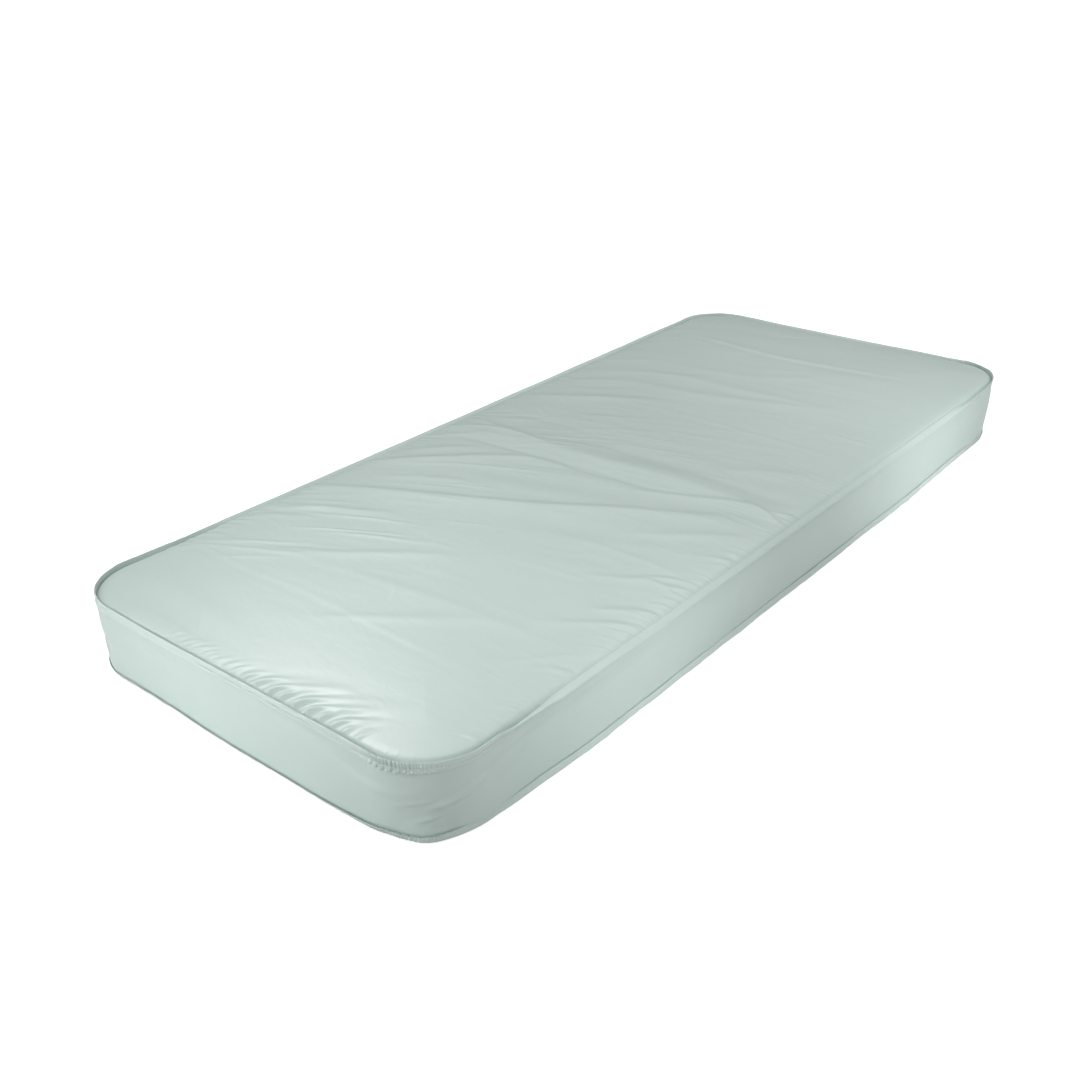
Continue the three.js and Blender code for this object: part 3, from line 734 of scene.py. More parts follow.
def drape(x, y, slack):
    """Slack in the cover between its folds: long soft waves that lie across the mattress."""
    skew = x + 0.28 * (y - 0.1)
    height = 0.00050 * noise2(skew / 0.075, y / 0.34, 41)
    height = height + 0.00020 * noise2(skew / 0.030 + 7, y / 0.15, 42)
    if slack is not None:
        grid_x, grid_y, lift = slack
        col = np.clip((x - grid_x[0]) / (grid_x[1] - grid_x[0]), 0, len(grid_x) - 1.001)
        row = np.clip((y - grid_y[0]) / (grid_y[1] - grid_y[0]), 0, len(grid_y) - 1.001)
        i, j = np.floor(col).astype(int), np.floor(row).astype(int)
        part_x, part_y = ease(col - i, 0, 1), ease(row - j, 0, 1)
        near = lift[j, i] * (1 - part_x) + lift[j, i + 1] * part_x
        far = lift[j + 1, i] * (1 - part_x) + lift[j + 1, i + 1] * part_x
        settled = near * (1 - part_y) + far * part_y
        # only here and there does the slack lift clear of the foam
        some = 0.22 + 0.78 * ease(noise2(x / 0.20, y / 0.17, 45), 0.05, 0.75)
        some = some * (1 - 0.55 * ease(x, 0.05, 0.55)) * (0.55 + 0.45 * ease(x, -0.80, -0.50))
        height = height * 0.6 + 0.0012 * np.tanh(settled / 0.0040) * some
    return height + 0.00010 * noise2(x / 0.012, y / 0.030, 43)


def swell(pos):
    """How hard the panel swells against the edge tape: most along the zip half of the foot."""
    full = span(pos, FOOT - 0.08, FOOT + 0.02, FOOT + 0.12, FOOT + 0.42)
    some = span(pos, FOOT + 0.05, FOOT + 0.42, PLAIN - 0.03, PLAIN + 0.12)
    return full + 0.48 * some * (1 - full)


def top_surface(seg, share, pos, depths, slack):
    """Points of the top panel at the given distances in from the seam."""
    seam_height, start_inset = seam_z(pos), seam_inset(pos)
    depth = depths[:, None]
    inset = 0.005 + depth + (start_inset - 0.005) * np.exp(-depth / 0.03)
    x, y = place(seg, share, inset, SEAM_R)
    tight = (0.0048 + 0.0060 * ease(np.degrees(top_tilt(pos)), 70, 115)
             + 0.0010 * noise1(pos, 44, 0.20) - 0.0031 * ease(swell(pos), 0.0, 0.35))
    z = crown(inset) + (seam_height - crown(start_inset)) * np.exp(-depth / tight)
    z = z + 0.0025 * swell(pos) * ease(depth, 0.0, 0.006) * np.exp(-(depth / 0.032) ** 2)
    z = z + fold_height(x.ravel(), y.ravel()).reshape(x.shape) * ease(depth, 0.0, 0.030)
    z = z + drape(x, y, slack) * ease(depth, 0.0, 0.05)
    z = z + pucker_height(pos, np.broadcast_to(depth, x.shape))
    # it rests on the sock, never through it
    low = np.interp(inset, SOCK[:, 0], SOCK[:, 1]) + 0.0013
    soft = 0.0005
    z = np.where(depth > 0.004, low + soft * np.logaddexp(0, (z - low) / soft), z)
    return np.stack([x, y, z], -1)


def depth_steps(first, growth, largest, end):
    """Growing steps in from the seam, scaled to finish at end."""
    depths, step = [0.0006], first
    while depths[-1] < end:
        depths.append(depths[-1] + step)
        step = min(step * growth, largest)
    depths = np.array(depths[:-1])
    return depths * (end / depths[-1])


def build_top():
    slack = cloth_slack()
    seg, share, pos = stations(TOP_COUNTS)
    depths = depth_steps(first=0.0013, growth=1.06, largest=0.0072, end=PANEL_REACH)
    lip = seam_rows(pos, [0.0105, 0.0065, 0.0030, 0.0008], -LAYER)
    points = np.concatenate([lip, top_surface(seg, share, pos, depths, slack)], 0)
    return thicken(ring_object("top_panel_cover", points, TOP_COUNTS), COVER_T)


def build_base():
    floor_gap = 0.0011
    seg, share, pos = stations(BASE_COUNTS)
    rows = list(seam_rows(pos, (0.0078, 0.0045, 0.0018, 0.0006), -LAYER, top=False))
    for depth in depth_steps(first=0.0022, growth=1.10, largest=0.014, end=PANEL_REACH):
        inset = 0.005 + depth + (base_inset(pos) - 0.005) * math.exp(-depth / 0.03)
        x, y = place(seg, share, inset, base_radius(pos))
        z = floor_gap + (base_z(pos) - floor_gap) * np.exp(-((depth / 0.0125) ** 1.1))
        wobble = 0.0004 * noise2(x / 0.06, y / 0.20, 51) * float(ease(depth, 0.0, 0.03))
        rows.append(np.stack([x, y, z + np.maximum(wobble, -0.0003)], -1))
    ob = ring_object("base_panel_cover", np.stack(rows, 0), BASE_COUNTS, flip=True)
    return thicken(ob, COVER_T)


# ---------------------------------------------------------------- side border
# soft creases: (segment start, outward push, half width, points of (distance past it, z))
BORDER_CREASES = [
    (PLAIN, -0.0026, 0.0070, [
        (-0.020, 0.100), (0.06, 0.1050), (0.16, 0.1065), (0.30, 0.1085), (0.46, 0.1110)]),
    (PLAIN, 0.0012, 0.0110, [(-0.010, 0.119), (0.10, 0.1235), (0.26, 0.1260), (0.44, 0.1270)]),
    (PLAIN, -0.0030, 0.0100, [(-0.085, 0.046), (-0.03, 0.062), (0.03, 0.083), (0.09, 0.098)]),
    (PLAIN, 0.0024, 0.0090, [(-0.110, 0.060), (-0.06, 0.075), (-0.01, 0.094)]),
    (PLAIN, 0.0020, 0.0042, [(-0.150, 0.066), (-0.12, 0.074), (-0.09, 0.079)]),
    (PLAIN, 0.0019, 0.0040, [(-0.120, 0.036), (-0.095, 0.045), (-0.07, 0.049)]),
    (PLAIN, -0.0016, 0.0060, [(-0.090, 0.024), (-0.04, 0.028), (0.01, 0.036)]),
    (PLAIN, -0.0018, 0.0110, [
        (-0.300, 0.118), (-0.24, 0.108), (-0.17, 0.104), (-0.10, 0.112)]),
    (PLAIN, 0.0012, 0.0100, [(-0.260, 0.092), (-0.18, 0.088), (-0.12, 0.092)]),
    (PLAIN, -0.0010, 0.0100, [(-0.42, 0.122), (-0.32, 0.126), (-0.22, 0.122)]),
    (FOOT, -0.0014, 0.0090, [(0.02, 0.112), (0.12, 0.117), (0.22, 0.115)]),
    (PLAIN, -0.0009, 0.0090, [(0.62, 0.030), (0.70, 0.022), (0.78, 0.026)]),
    (PLAIN, -0.0010, 0.0110, [(1.30, 0.120), (1.55, 0.124), (1.80, 0.122)]),
    (PLAIN, -0.0012, 0.0100, [(1.78, 0.060), (1.86, 0.085), (1.92, 0.105)]),
    (HEAD, -0.0013, 0.0110, [(0.05, 0.050), (0.20, 0.090), (0.30, 0.100)]),
    (HEAD, -0.0015, 0.0110, [(0.40, 0.105), (0.55, 0.098), (0.68, 0.070)]),
    (HEAD_ZIP, 0.0016, 0.0080, [(0.02, 0.060), (0.10, 0.090), (0.17, 0.110)]),
    (FOOT_ZIP, -0.0018, 0.0100, [(0.03, 0.110), (0.10, 0.084), (0.18, 0.060)]),
]
CREASE_GAIN, CREASE_NARROW = 2.2, 0.85      # applied to every push and half width above
LIP_ROWS = 3                                # rows of the border inside each edge tape
# how far in and how far past the opening each row of the zip hem lies
HEM = [(0.00012, 0.0005), (0.0004, 0.0008), (0.00068, 0.0004), (0.0008, -0.0006),
       (0.00082, -0.0040), (0.00082, -0.0085)]


def border_out(pos, z):
    """Outward displacement by the creases at pos (n,), z (rows, n)."""
    total = np.zeros(z.shape)
    pos = np.broadcast_to(pos, z.shape)
    for start, push, width, points in BORDER_CREASES:
        width = width * CREASE_NARROW
        line = spline([(start + past, height) for past, height in points])
        first, last = line[:, 0].min(), line[:, 0].max()
        mid = (first + last) / 2
        local = way_round(pos - mid) + mid
        near = (local > first - 4 * width) & (local < last + 4 * width)
        if not near.any():
            continue
        dist, _, along, length = nearest(local[near], z[near], line)
        taper = np.sin(np.pi * np.clip(0.04 + 0.92 * along / length, 0, 1)) ** 0.8
        total[near] += push * CREASE_GAIN * taper * np.exp(-((dist / width) ** 1.6))
    return total


def border_points(seg, share, pos, levels):
    """Rows of the border; levels are shares of the height between the seams."""
    level = levels[:, None]
    low_z = base_z(pos)
    z = low_z + (seam_z(pos) - low_z) * level
    low_inset = base_inset(pos)
    lean = low_inset + (seam_inset(pos) - low_inset) * level
    lean = lean + kink(pos) * ease(level, 0.0, 0.5) * (1 - level)
    fullness = 1 - np.abs(2 * level - 1) ** 3.2
    bulge = (0.0016 + 0.0008 * noise1(pos, 61, 0.40)) * (0.35 + 0.65 * ease(level, 0.0, 0.35))
    # it tucks in under the lower half of the plain foot corner
    out = bulge * fullness - 0.0030 * corner(pos, FOOT_PLAIN, 0.12) * bell(level, 0.30, 0.25)
    out = out + fullness * (0.0008 * noise2(pos / 0.16, z / 0.09, 62)
                            + 0.00035 * noise2(pos / 0.055, z / 0.045, 63))
    out = out + border_out(pos, z) * ease(np.minimum(level, 1 - level), 0.0, 0.08)
    # small gathers by the seams, stronger in the corners
    for seed, edge, pitch in ((64, level, 0.012), (66, 1 - level, 0.013)):
        wave, strength = gather(pos, seed, pitch)
        near = ease(edge, 0, 0.02)
        out = out + 0.00075 * (np.abs(wave) - 0.5) * strength * np.exp(-edge / 0.07) * near
        out = out + 0.00016 * wave * np.exp(-edge / 0.06) * near
    low_r = base_radius(pos)
    radius = low_r + (SEAM_R - low_r) * ease(level, 0.0, 0.9)
    # never deeper than the sock it covers
    inset, limit, soft = lean - out, 0.0043, 0.001
    eased = limit - soft + soft * (1 - np.exp(-(inset - limit + soft) / soft))
    inset = np.where(inset > limit - soft, eased, inset)
    x, y = place(seg, share, inset, radius)
    return np.concatenate([
        seam_rows(pos, (0.0078, 0.0045, 0.0018), LAYER, top=False),
        np.stack([x, y, z], -1),
        seam_rows(pos, (0.0030, 0.0065, 0.0105), LAYER)], 0)


def zip_strip(points, up):
    """The border beside the zip, flattened for the slider and hemmed along the opening."""
    strip_points = points.copy()
    opening = OPEN_HI if up else OPEN_LO
    flat = np.exp(-(np.abs(strip_points[..., 2] - opening) / 0.028) ** 1.5)
    strip_points[..., 1] = strip_points[..., 1] * (1 - flat) + ZIP_FACE_Y * flat
    edge = strip_points[0 if up else -1]
    edge[:, 2] = opening + 0.00025 * noise1(edge[:, 0], 72 if up else 71, 0.05)
    # positive steps go into the opening, the last rows turn back behind the fabric
    hem = np.stack([edge + np.array([0, -inward, -past if up else past])
                    for inward, past in HEM], 0)
    return np.concatenate([hem[::-1], strip_points] if up else [strip_points, hem], 0)


def build_border():
    """The side border without its zip strips, then the lower and upper strip."""
    open_lo = (OPEN_LO - BASE_Z) / (SEAM_Z - BASE_Z)
    open_hi = (OPEN_HI - BASE_Z) / (SEAM_Z - BASE_Z)
    levels = np.concatenate([
        [0.0, 0.006, 0.014, 0.026], np.linspace(0.045, open_lo, 11),
        np.linspace(open_lo, open_hi, 8)[1:-1], np.linspace(open_hi, 0.955, 24),
        [0.974, 0.986, 0.994, 1.0]])
    seg, share, pos = stations((560, 200, 84))
    points = border_points(seg, share, pos, levels)
    first_x = points[0, :, 0]
    mid_x = (first_x + np.roll(first_x, -1)) / 2
    zip_cols = (seg == 2) & (np.abs(mid_x) < ZIP_HALF)
    keep = np.broadcast_to(~zip_cols, (len(points) - 1, len(pos)))
    border = thicken(grid_mesh("side_border_cover", points, keep=keep), COVER_T)
    cols = np.where(zip_cols)[0]
    cols = np.append(cols, cols[-1] + 1)
    row_lo = LIP_ROWS + int(np.argmin(np.abs(levels - open_lo)))
    row_hi = LIP_ROWS + int(np.argmin(np.abs(levels - open_hi)))
    strips = []
    for name, rows, up in (("lower", slice(row_lo + 1), False), ("upper", slice(row_hi, None), True)):
        strip_points = zip_strip(points[rows][:, cols], up)
        strips.append(grid_mesh("zip_panel_%s_cover" % name, strip_points, closed=False))
    for ob in strips:
        thicken(ob, 0.0004)
    return border, *strips


# ---------------------------------------------------------------- edge tapes
# outer face of each folded tape in mm: (across, out of the seam)
TOP_PROFILE = [
    (2.7, -4.9), (2.25, -3.6), (1.95, -2.2), (1.75, -0.8), (1.50, 0.5), (1.34, 1.5),
    (1.45, 2.4), (1.62, 4.0), (1.72, 6.0), (1.74, 8.0), (1.70, 10.0), (1.58, 11.6),
    (1.28, 12.8), (0.72, 13.5), (0.0, 13.75), (-0.72, 13.5), (-1.28, 12.8), (-1.58, 11.6),
    (-1.70, 10.0), (-1.74, 8.0), (-1.72, 6.0), (-1.62, 4.0), (-1.45, 2.4), (-1.34, 1.5),
    (-1.42, 0.7), (-1.55, -0.3)]
BASE_PROFILE = [
    (1.95, -3.6), (1.80, -2.8), (1.62, -2.0), (1.46, -1.2), (1.34, -0.4), (1.45, 0.8),
    (1.60, 3.0), (1.68, 5.5), (1.66, 7.2), (1.55, 8.8), (1.25, 9.9), (0.70, 10.6),
    (0.0, 10.85), (-0.70, 10.6), (-1.25, 9.9), (-1.55, 8.8), (-1.66, 7.2), (-1.68, 5.5),
    (-1.60, 3.8), (-1.45, 2.2), (-1.34, 1.3), (-1.42, 0.6)]
TAPE_WALL = 0.7      # mm


def tape(name, profile, frame_of, seed, up):
    """A folded tape swept round a seam; its section runs over the fold and back inside."""
    pos = stations((900, 320, 150))[2]
    outer = np.array(profile)
    tangent = np.gradient(outer, axis=0)
    tangent /= np.linalg.norm(tangent, axis=1)[:, None]
    inner = outer - np.stack([tangent[:, 1], -tangent[:, 0]], -1) * TAPE_WALL
    loop = np.concatenate([outer, inner[::-1]], 0) / 1000
    across, reach = loop[:, :1], loop[:, 1:]

    wave, strength = gather(pos, seed, 0.0104)
    pleat = np.abs(wave) ** 0.8 - 0.62
    if not up:
        strength = strength * (1 - 0.65 * corner(pos, FOOT_ZIP, 0.10))
    # the pleats bunch up on the foot side of the plain foot corner and fade beyond it
    strength = strength * (1 + (3.0 if up else 1.4) * bell(pos, PLAIN - 0.150, 0.070))
    strength = strength * (
        1 - 0.88 * span(pos, PLAIN - 0.115, PLAIN - 0.055, PLAIN + 0.3, PLAIN + 0.5))
    fine = noise1(pos, seed + 5, 0.016)
    slow = noise1(pos, seed + 6, 0.055)

    side = np.where(across < 0, -1, 1)
    height = np.clip(reach / (outer[:, 1].max() / 1000), 0, 1)
    lip = np.clip(-reach / 0.0045, 0, None) * (across > 0)
    across = across * (1 - 0.42 * slim(pos))
    # pleats stand out between the stitching and the fold, and flare the free lip
    body = np.sin(np.pi * height ** 0.8) ** 0.7 * side
    across = across + (0.00160 * pleat * strength + 0.00022 * fine) * body
    across = across + (0.0005 * slow + 0.0004 * fine) * height ** 2
    reach = reach + (0.0009 * pleat * strength + 0.00035 * fine + 0.0006 * slow) * height ** 3
    # the flare is limited to the reach it has on the free lip
    lip = np.minimum(lip, 1.2)
    flare = (0.0013 * np.abs(wave) + 0.0003) * strength + 0.00035 * fine + 0.0003 * slow
    lip_now = lip if lip_fixed(profile) else np.clip(-reach / 0.0045, 0, 1.2) * (side > 0)
    across = across + flare * lip_now
    reach = reach + (0.0010 * wave * strength + 0.0003 * fine) * lip_now
    if up:
        reach = low_lip(reach, pos)
    seam, out, over = frame_of(pos)
    points = seam[None] + reach[..., None] * out[None] + across[..., None] * over[None]
    return grid_mesh(name, points if up else points[::-1], close_rows=True)


def lip_fixed(profile):
    """True when the profile has a free lip below the seam."""
    return min(height for _, height in profile) < 0


# ---------------------------------------------------------------- stitches
# along one stitch: (share of its length, thickness, lift), the last two in thread radii
BEAD = np.array([(0.0, 0.35, -0.9), (0.10, 0.82, -0.2), (0.28, 1.0, 0.3), (0.5, 1.0, 0.45),
                 (0.72, 1.0, 0.3), (0.90, 0.82, -0.2), (1.0, 0.35, -0.9)])


def capsules(name, starts, ends, lift, radius):
    """Arched beads of thread from starts to ends (n, 3), as one mesh of separate solids."""
    sides, rings, number = 6, len(BEAD), len(starts)
    part, thick, rise = BEAD.T
    run = ends - starts
    axis = run / np.linalg.norm(run, axis=1)[:, None]
    up = lift / np.linalg.norm(lift, axis=1)[:, None]
    up = up - (up * axis).sum(1)[:, None] * axis
    up /= np.linalg.norm(up, axis=1)[:, None]
    side = np.cross(axis, up)
    centre = starts[:, None, :] + run[:, None, :] * part[None, :, None]
    centre = centre + up[:, None, :] * (rise * radius)[None, :, None]
    angle = (np.arange(sides) / sides * 2 * math.pi)[:, None]
    ring = np.cos(angle) * side[:, None, None, :] + np.sin(angle) * up[:, None, None, :] * 0.85
    verts = centre[:, :, None, :] + ring * (thick * radius)[None, :, None, None]
    last = (rings - 1) * sides
    faces = np.concatenate([
        grid_faces(rings, sides)[..., [0, 3, 2, 1]].reshape(-1, 4),
        [[0, 1, 2, 3], [0, 3, 4, 5]],
        [[last + 3, last + 2, last + 1, last], [last + 5, last + 4, last + 3, last]]])
    faces = (faces[None] + (np.arange(number) * rings * sides)[:, None, None]).reshape(-1, 4)
    return mesh_from(name, verts.reshape(-1, 3), faces)


def tape_stitches(name, frame_of, reach, seed, gap=None):
    """Stitches round a tape, left out between the two positions of gap."""
    pitch, length, offset = 0.0046, 0.0037, 0.00165
    number = int(PERIM / pitch)
    centres = (np.arange(number) + 0.5) * PERIM / number
    if gap:
        centres = centres[(centres < gap[0]) | (centres > gap[1])]
    reach = reach + 0.0002 * noise1(centres, seed, 0.02)
    ends = []
    for sign in (-1, 1):
        seam, out, across = frame_of(centres + sign * length / 2)
        ends.append(seam + (reach + sign * 0.00012)[:, None] * out + offset * across)
    return capsules(name, *ends, frame_of(centres)[2], 0.00060)


def run_stitches(name, points):
    """Stitches along a polyline on the zip side."""
    pitch, length = 0.0040, 0.0032
    points = np.array(points, float)
    steps = np.linalg.norm(np.diff(points, axis=0), axis=1)
    travelled = np.concatenate([[0], np.cumsum(steps)])
    total = travelled[-1]
    number = int(total / pitch)
    centres = (np.arange(number) + 0.5) * total / number
    ends = []
    for sign in (-1, 1):
        dist = np.clip(centres + sign * length / 2, 0, total - 1e-6)
        ends.append(np.stack([np.interp(dist, travelled, points[:, k]) for k in range(3)], -1))
    return capsules(name, *ends, np.tile([0.0, 1.0, 0.0], (number, 1)), 0.0004)


# ---------------------------------------------------------------- zip
def coil(name, sign):
    """One coil of the zip, a wound thread; sign is 1 for the upper one."""
    pitch, per_turn, sides, thread_r, end_gap = 0.0022, 12, 5, 0.00034, 0.0006
    number = int(2 * CHAIN_HALF / pitch) * per_turn + 1
    turn = np.arange(number) / per_turn * 2 * math.pi + (0 if sign > 0 else math.pi)
    cos, sin = np.cos(turn), np.sin(turn)
    span_x = 2 * CHAIN_HALF - 2 * end_gap
    x = -CHAIN_HALF + end_gap + span_x * np.arange(number) / (number - 1)
    y = HALF_WID - 0.0008 + 0.00074 * np.sign(sin) * np.abs(sin) ** 0.8
    z = ZIP_Z + sign * (0.0028 + 0.00180 * np.sign(cos) * np.abs(cos) ** 0.75)
    centre = np.stack([x, y, z], -1)
    tangent = np.gradient(centre, axis=0)
    tangent /= np.linalg.norm(tangent, axis=1)[:, None]
    first = np.cross(tangent, np.array([1.0, 0, 0]))
    first /= np.linalg.norm(first, axis=1)[:, None]
    second = np.cross(tangent, first)
    angle = (np.arange(sides) / sides * 2 * math.pi)[:, None]
    ring = np.cos(angle) * first[:, None, :] + np.sin(angle) * second[:, None, :]
    points = (centre[:, None, :] + thread_r * ring).reshape(-1, 3)
    caps = [np.arange(sides)[::-1], (number - 1) * sides + np.arange(sides)]
    return mesh_from(name, points, grid_faces(number, sides).reshape(-1, 4), caps)


def strip(name, x_range, z_range, face_y, counts, thickness, corner_r=0.0):
    """A thin panel on the zip side: face_y(x, z) gives its outer face."""
    x, z = np.meshgrid(np.linspace(*x_range[::-1], counts[0]), np.linspace(*z_range, counts[1]))
    if corner_r:
        mid_x, mid_z = sum(x_range) / 2, sum(z_range) / 2
        flat_x = (x_range[1] - x_range[0]) / 2 - corner_r
        flat_z = (z_range[1] - z_range[0]) / 2 - corner_r
        off_x, off_z = np.abs(x - mid_x), np.abs(z - mid_z)
        past_x, past_z = np.maximum(off_x - flat_x, 0), np.maximum(off_z - flat_z, 0)
        far = np.maximum(np.hypot(past_x, past_z), 1e-9)
        shrink = np.where(far > 1e-8, np.maximum(past_x, past_z) / far, 1)
        x = mid_x + np.sign(x - mid_x) * (np.minimum(off_x, flat_x) + past_x * shrink)
        z = mid_z + np.sign(z - mid_z) * (np.minimum(off_z, flat_z) + past_z * shrink)
    return thicken(grid_mesh(name, np.stack([x, face_y(x, z), z], -1), closed=False), thickness)


def zip_tape(name, z_range):
    def face_y(x, z):
        rib = 0.00006 * np.abs(np.sin((z - ZIP_Z) / 0.0013 * math.pi))
        return HALF_WID - 0.00218 + rib + 0.00006 * noise1(x, 75, 0.02)
    x_end = ZIP_HALF - 0.002
    return strip(name, (-x_end, x_end), z_range, face_y, (420, 26), 0.0005)


def end_patch(name, x_range):
    """Patch over one end of the zip, sewn down round its edge."""
    x_lo, x_hi = x_range
    half_x, half_z, margin = (x_hi - x_lo) / 2, 0.0235, 0.0042
    mid_x = (x_lo + x_hi) / 2

    def face_y(x, z):
        edge = np.minimum(half_x - np.abs(x - mid_x), half_z - np.abs(z - ZIP_Z))
        return (HALF_WID + 0.0003 + 0.0011 * ease(edge, 0.0, 0.003)
                - 0.0003 * bell(edge, 0.0045, 0.0011) + 0.0005 * ease(edge, 0.006, 0.018)
                + 0.00016 * noise2(x / 0.006, z / 0.010, 77))

    z_lo, z_hi = ZIP_Z - half_z, ZIP_Z + half_z
    patch = strip("zip_end_patch_%s_cover" % name, x_range, (z_lo, z_hi), face_y,
                  (40, 46), 0.0006, corner_r=0.004)
    west, east, low, high = x_lo + margin, x_hi - margin, z_lo + margin, z_hi - margin
    corners = np.array([(west, low), (east, low), (east, high), (west, high), (west, low)])
    path = np.concatenate([
        start + (end - start) * np.linspace(0, 1, 12, endpoint=False)[:, None]
        for start, end in zip(corners[:-1], corners[1:])] + [corners[:1]])
    x, z = path.T
    sewn = run_stitches("zip_end_patch_%s_stitches" % name,
                        np.stack([x, face_y(x, z) + 0.0002, z], -1))
    return patch, sewn


def care_label():
    """Blank label, caught under the upper tape and curling away at its free end."""
    top_z = 0.1400

    def face_y(x, z):
        down = np.clip((top_z - z) / 0.049, 0, 1)
        return (HALF_WID + 0.0016 + 0.0042 * down ** 2.2
                + 0.0008 * np.sin((x + 0.727) / 0.070 * math.pi) * down
                + 0.0003 * noise2(x / 0.02, z / 0.02, 78))
    return strip("care_label_ribbon", (-0.762, -0.692), (0.0915, top_z), face_y,
                 (60, 44), 0.0003, corner_r=0.0012)


# ---------------------------------------------------------------- shader graphs
class Graph:
    """A node tree with short calls for the nodes used here."""
    def __init__(self, tree):
        self.tree = tree
        tree.nodes.clear()

    def feed(self, socket, value):
        if hasattr(value, "is_output"):
            self.tree.links.new(value, socket)
        else:
            socket.default_value = value

    def node(self, kind, inputs=None, **settings):
        made = self.tree.nodes.new("ShaderNode" + kind)
        for attribute, value in settings.items():
            setattr(made, attribute, value)
        for key, value in (inputs or {}).items():
            self.feed(made.inputs[key], value)
        return made


class Material(Graph):
    """A material with one Principled shader, textured in object coordinates."""
    def __init__(self, name):
        self.data = bpy.data.materials.new(name)
        self.data.use_nodes = True
        super().__init__(self.data.node_tree)
        output = self.node("OutputMaterial")
        self.shader = self.node("BsdfPrincipled")
        self.feed(output.inputs["Surface"], self.shader.outputs["BSDF"])
        self.coords = self.node("TexCoord").outputs["Object"]

    def surface(self, values):
        for key, value in values.items():
            self.feed(self.shader.inputs[key], value)

    def mapped(self, stretch=(1, 1, 1), turn=0.0):
        return self.node("Mapping", {
            "Vector": self.coords, "Scale": stretch, "Rotation": (0, 0, turn)}).outputs["Vector"]

    def noise(self, scale, detail=2.0, roughness=0.5, distortion=0.0, **mapping):
        return self.node("TexNoise", {
            "Vector": self.mapped(**mapping), "Scale": scale, "Detail": detail,
            "Roughness": roughness, "Distortion": distortion}).outputs["Fac"]

    def voronoi(self, scale, randomness=1.0):
        return self.node("TexVoronoi", {
            "Vector": self.mapped(), "Scale": scale, "Randomness": randomness},
            feature="F1").outputs["Distance"]

    def ramp(self, value, start, end):
        """Grey ramp between two (position, level) stops."""
        made = self.node("ValToRGB", {"Fac": value})
        for stop, (position, level) in zip(made.color_ramp.elements, (start, end)):
            stop.position = position
            stop.color = (level, level, level, 1)
        return made.outputs["Color"]

    def maths(self, operation, first, second=0.0):
        return self.node("Math", {0: first, 1: second, 2: 0.0}, operation=operation).outputs[0]

    def add(self, first, second):
        return self.maths("ADD", first, second)

    def times(self, first, second):
        return self.maths("MULTIPLY", first, second)

    def mix(self, factor, first, second):
        """Colour mix; inputs 6 and 7 and output 2 are the node's colour sockets."""
        pair = [c if hasattr(c, "is_output") else (*c, 1) for c in (first, second)]
        return self.node("Mix", {0: factor, 6: pair[0], 7: pair[1]},
                         data_type="RGBA", blend_type="MIX").outputs[2]

    def bump(self, height, distance, strength, normal=None):
        inputs = {"Strength": strength, "Distance": distance, "Height": height}
        if normal is not None:
            inputs["Normal"] = normal
        return self.node("Bump", inputs).outputs["Normal"]


def shade(colour, factor):
    return tuple(c * factor for c in colour)


# ---------------------------------------------------------------- materials
def vinyl(name, base, dark, rough=0.36, crest_and_crease_tone=0.10, wrinkle=1.0):
    """Satin coated fabric with soft handling wrinkles and a fine grain."""
    mat = Material(name)
    broad = mat.noise(scale=2.2, detail=3, roughness=0.55)
    middle = mat.noise(scale=14, detail=3, roughness=0.6, distortion=0.6, stretch=(1, 0.55, 1))
    broad_share, middle_share = 0.65, 0.35
    tone = mat.add(mat.times(broad, broad_share), mat.times(middle, middle_share))
    colour = mat.mix(mat.ramp(tone, start=(0.34, 0.0), end=(0.66, 1.0)), dark, base)
    # lighter in patches along crests, and painted shade: the creases darkened towards the dark mint
    pointed = mat.node("NewGeometry").outputs["Pointiness"]
    crest = mat.ramp(pointed, start=(0.50, 0.0), end=(0.56, 1.0))
    crease_shade = mat.ramp(pointed, start=(0.43, 1.0), end=(0.497, 0.0))
    patchy = mat.ramp(mat.noise(scale=60, detail=3, roughness=0.6),
                      start=(0.40, 0.2), end=(0.65, 1.0))
    crest_tint = tuple(min(1.0, c * 1.10 + 0.02) for c in base)
    colour = mat.mix(mat.times(mat.times(crest, patchy), crest_and_crease_tone), colour, crest_tint)
    # painted shade in the creases
    colour = mat.mix(mat.times(crease_shade, crest_and_crease_tone * 1.6), colour, shade(dark, 0.72))
    # fine speckle of the coated grain
    grain, speckle = mat.voronoi(scale=1250, randomness=0.9), 0.05
    spots = mat.ramp(grain, start=(0.0, 1.0), end=(0.45, 0.0))
    colour = mat.mix(mat.times(spots, speckle), colour, shade(base, 0.86))
    # roughness varies by this much in all
    rough_span = 0.12
    uneven = mat.times(mat.noise(scale=9, detail=4, roughness=0.6), rough_span)
    soft = mat.noise(scale=46, detail=4, roughness=0.55, distortion=1.2,
                     stretch=(1.0, 0.45, 1.0), turn=0.25)
    small = mat.noise(scale=130, detail=3, roughness=0.5, distortion=0.8,
                      stretch=(0.7, 1.0, 1.0), turn=-0.4)
    normal = mat.bump(soft, distance=0.0010 * wrinkle, strength=0.35)
    normal = mat.bump(small, distance=0.00030 * wrinkle, strength=0.30, normal=normal)
    mat.surface({
        "Base Color": colour, "Roughness": mat.add(rough - rough_span / 2, uneven),
        "Specular IOR Level": 0.5, "Sheen Weight": 0.06, "Sheen Roughness": 0.5,
        "Coat Weight": 0.10, "Coat Roughness": 0.28,
        "Normal": mat.bump(grain, distance=0.00006, strength=0.30, normal=normal)})
    return mat.data


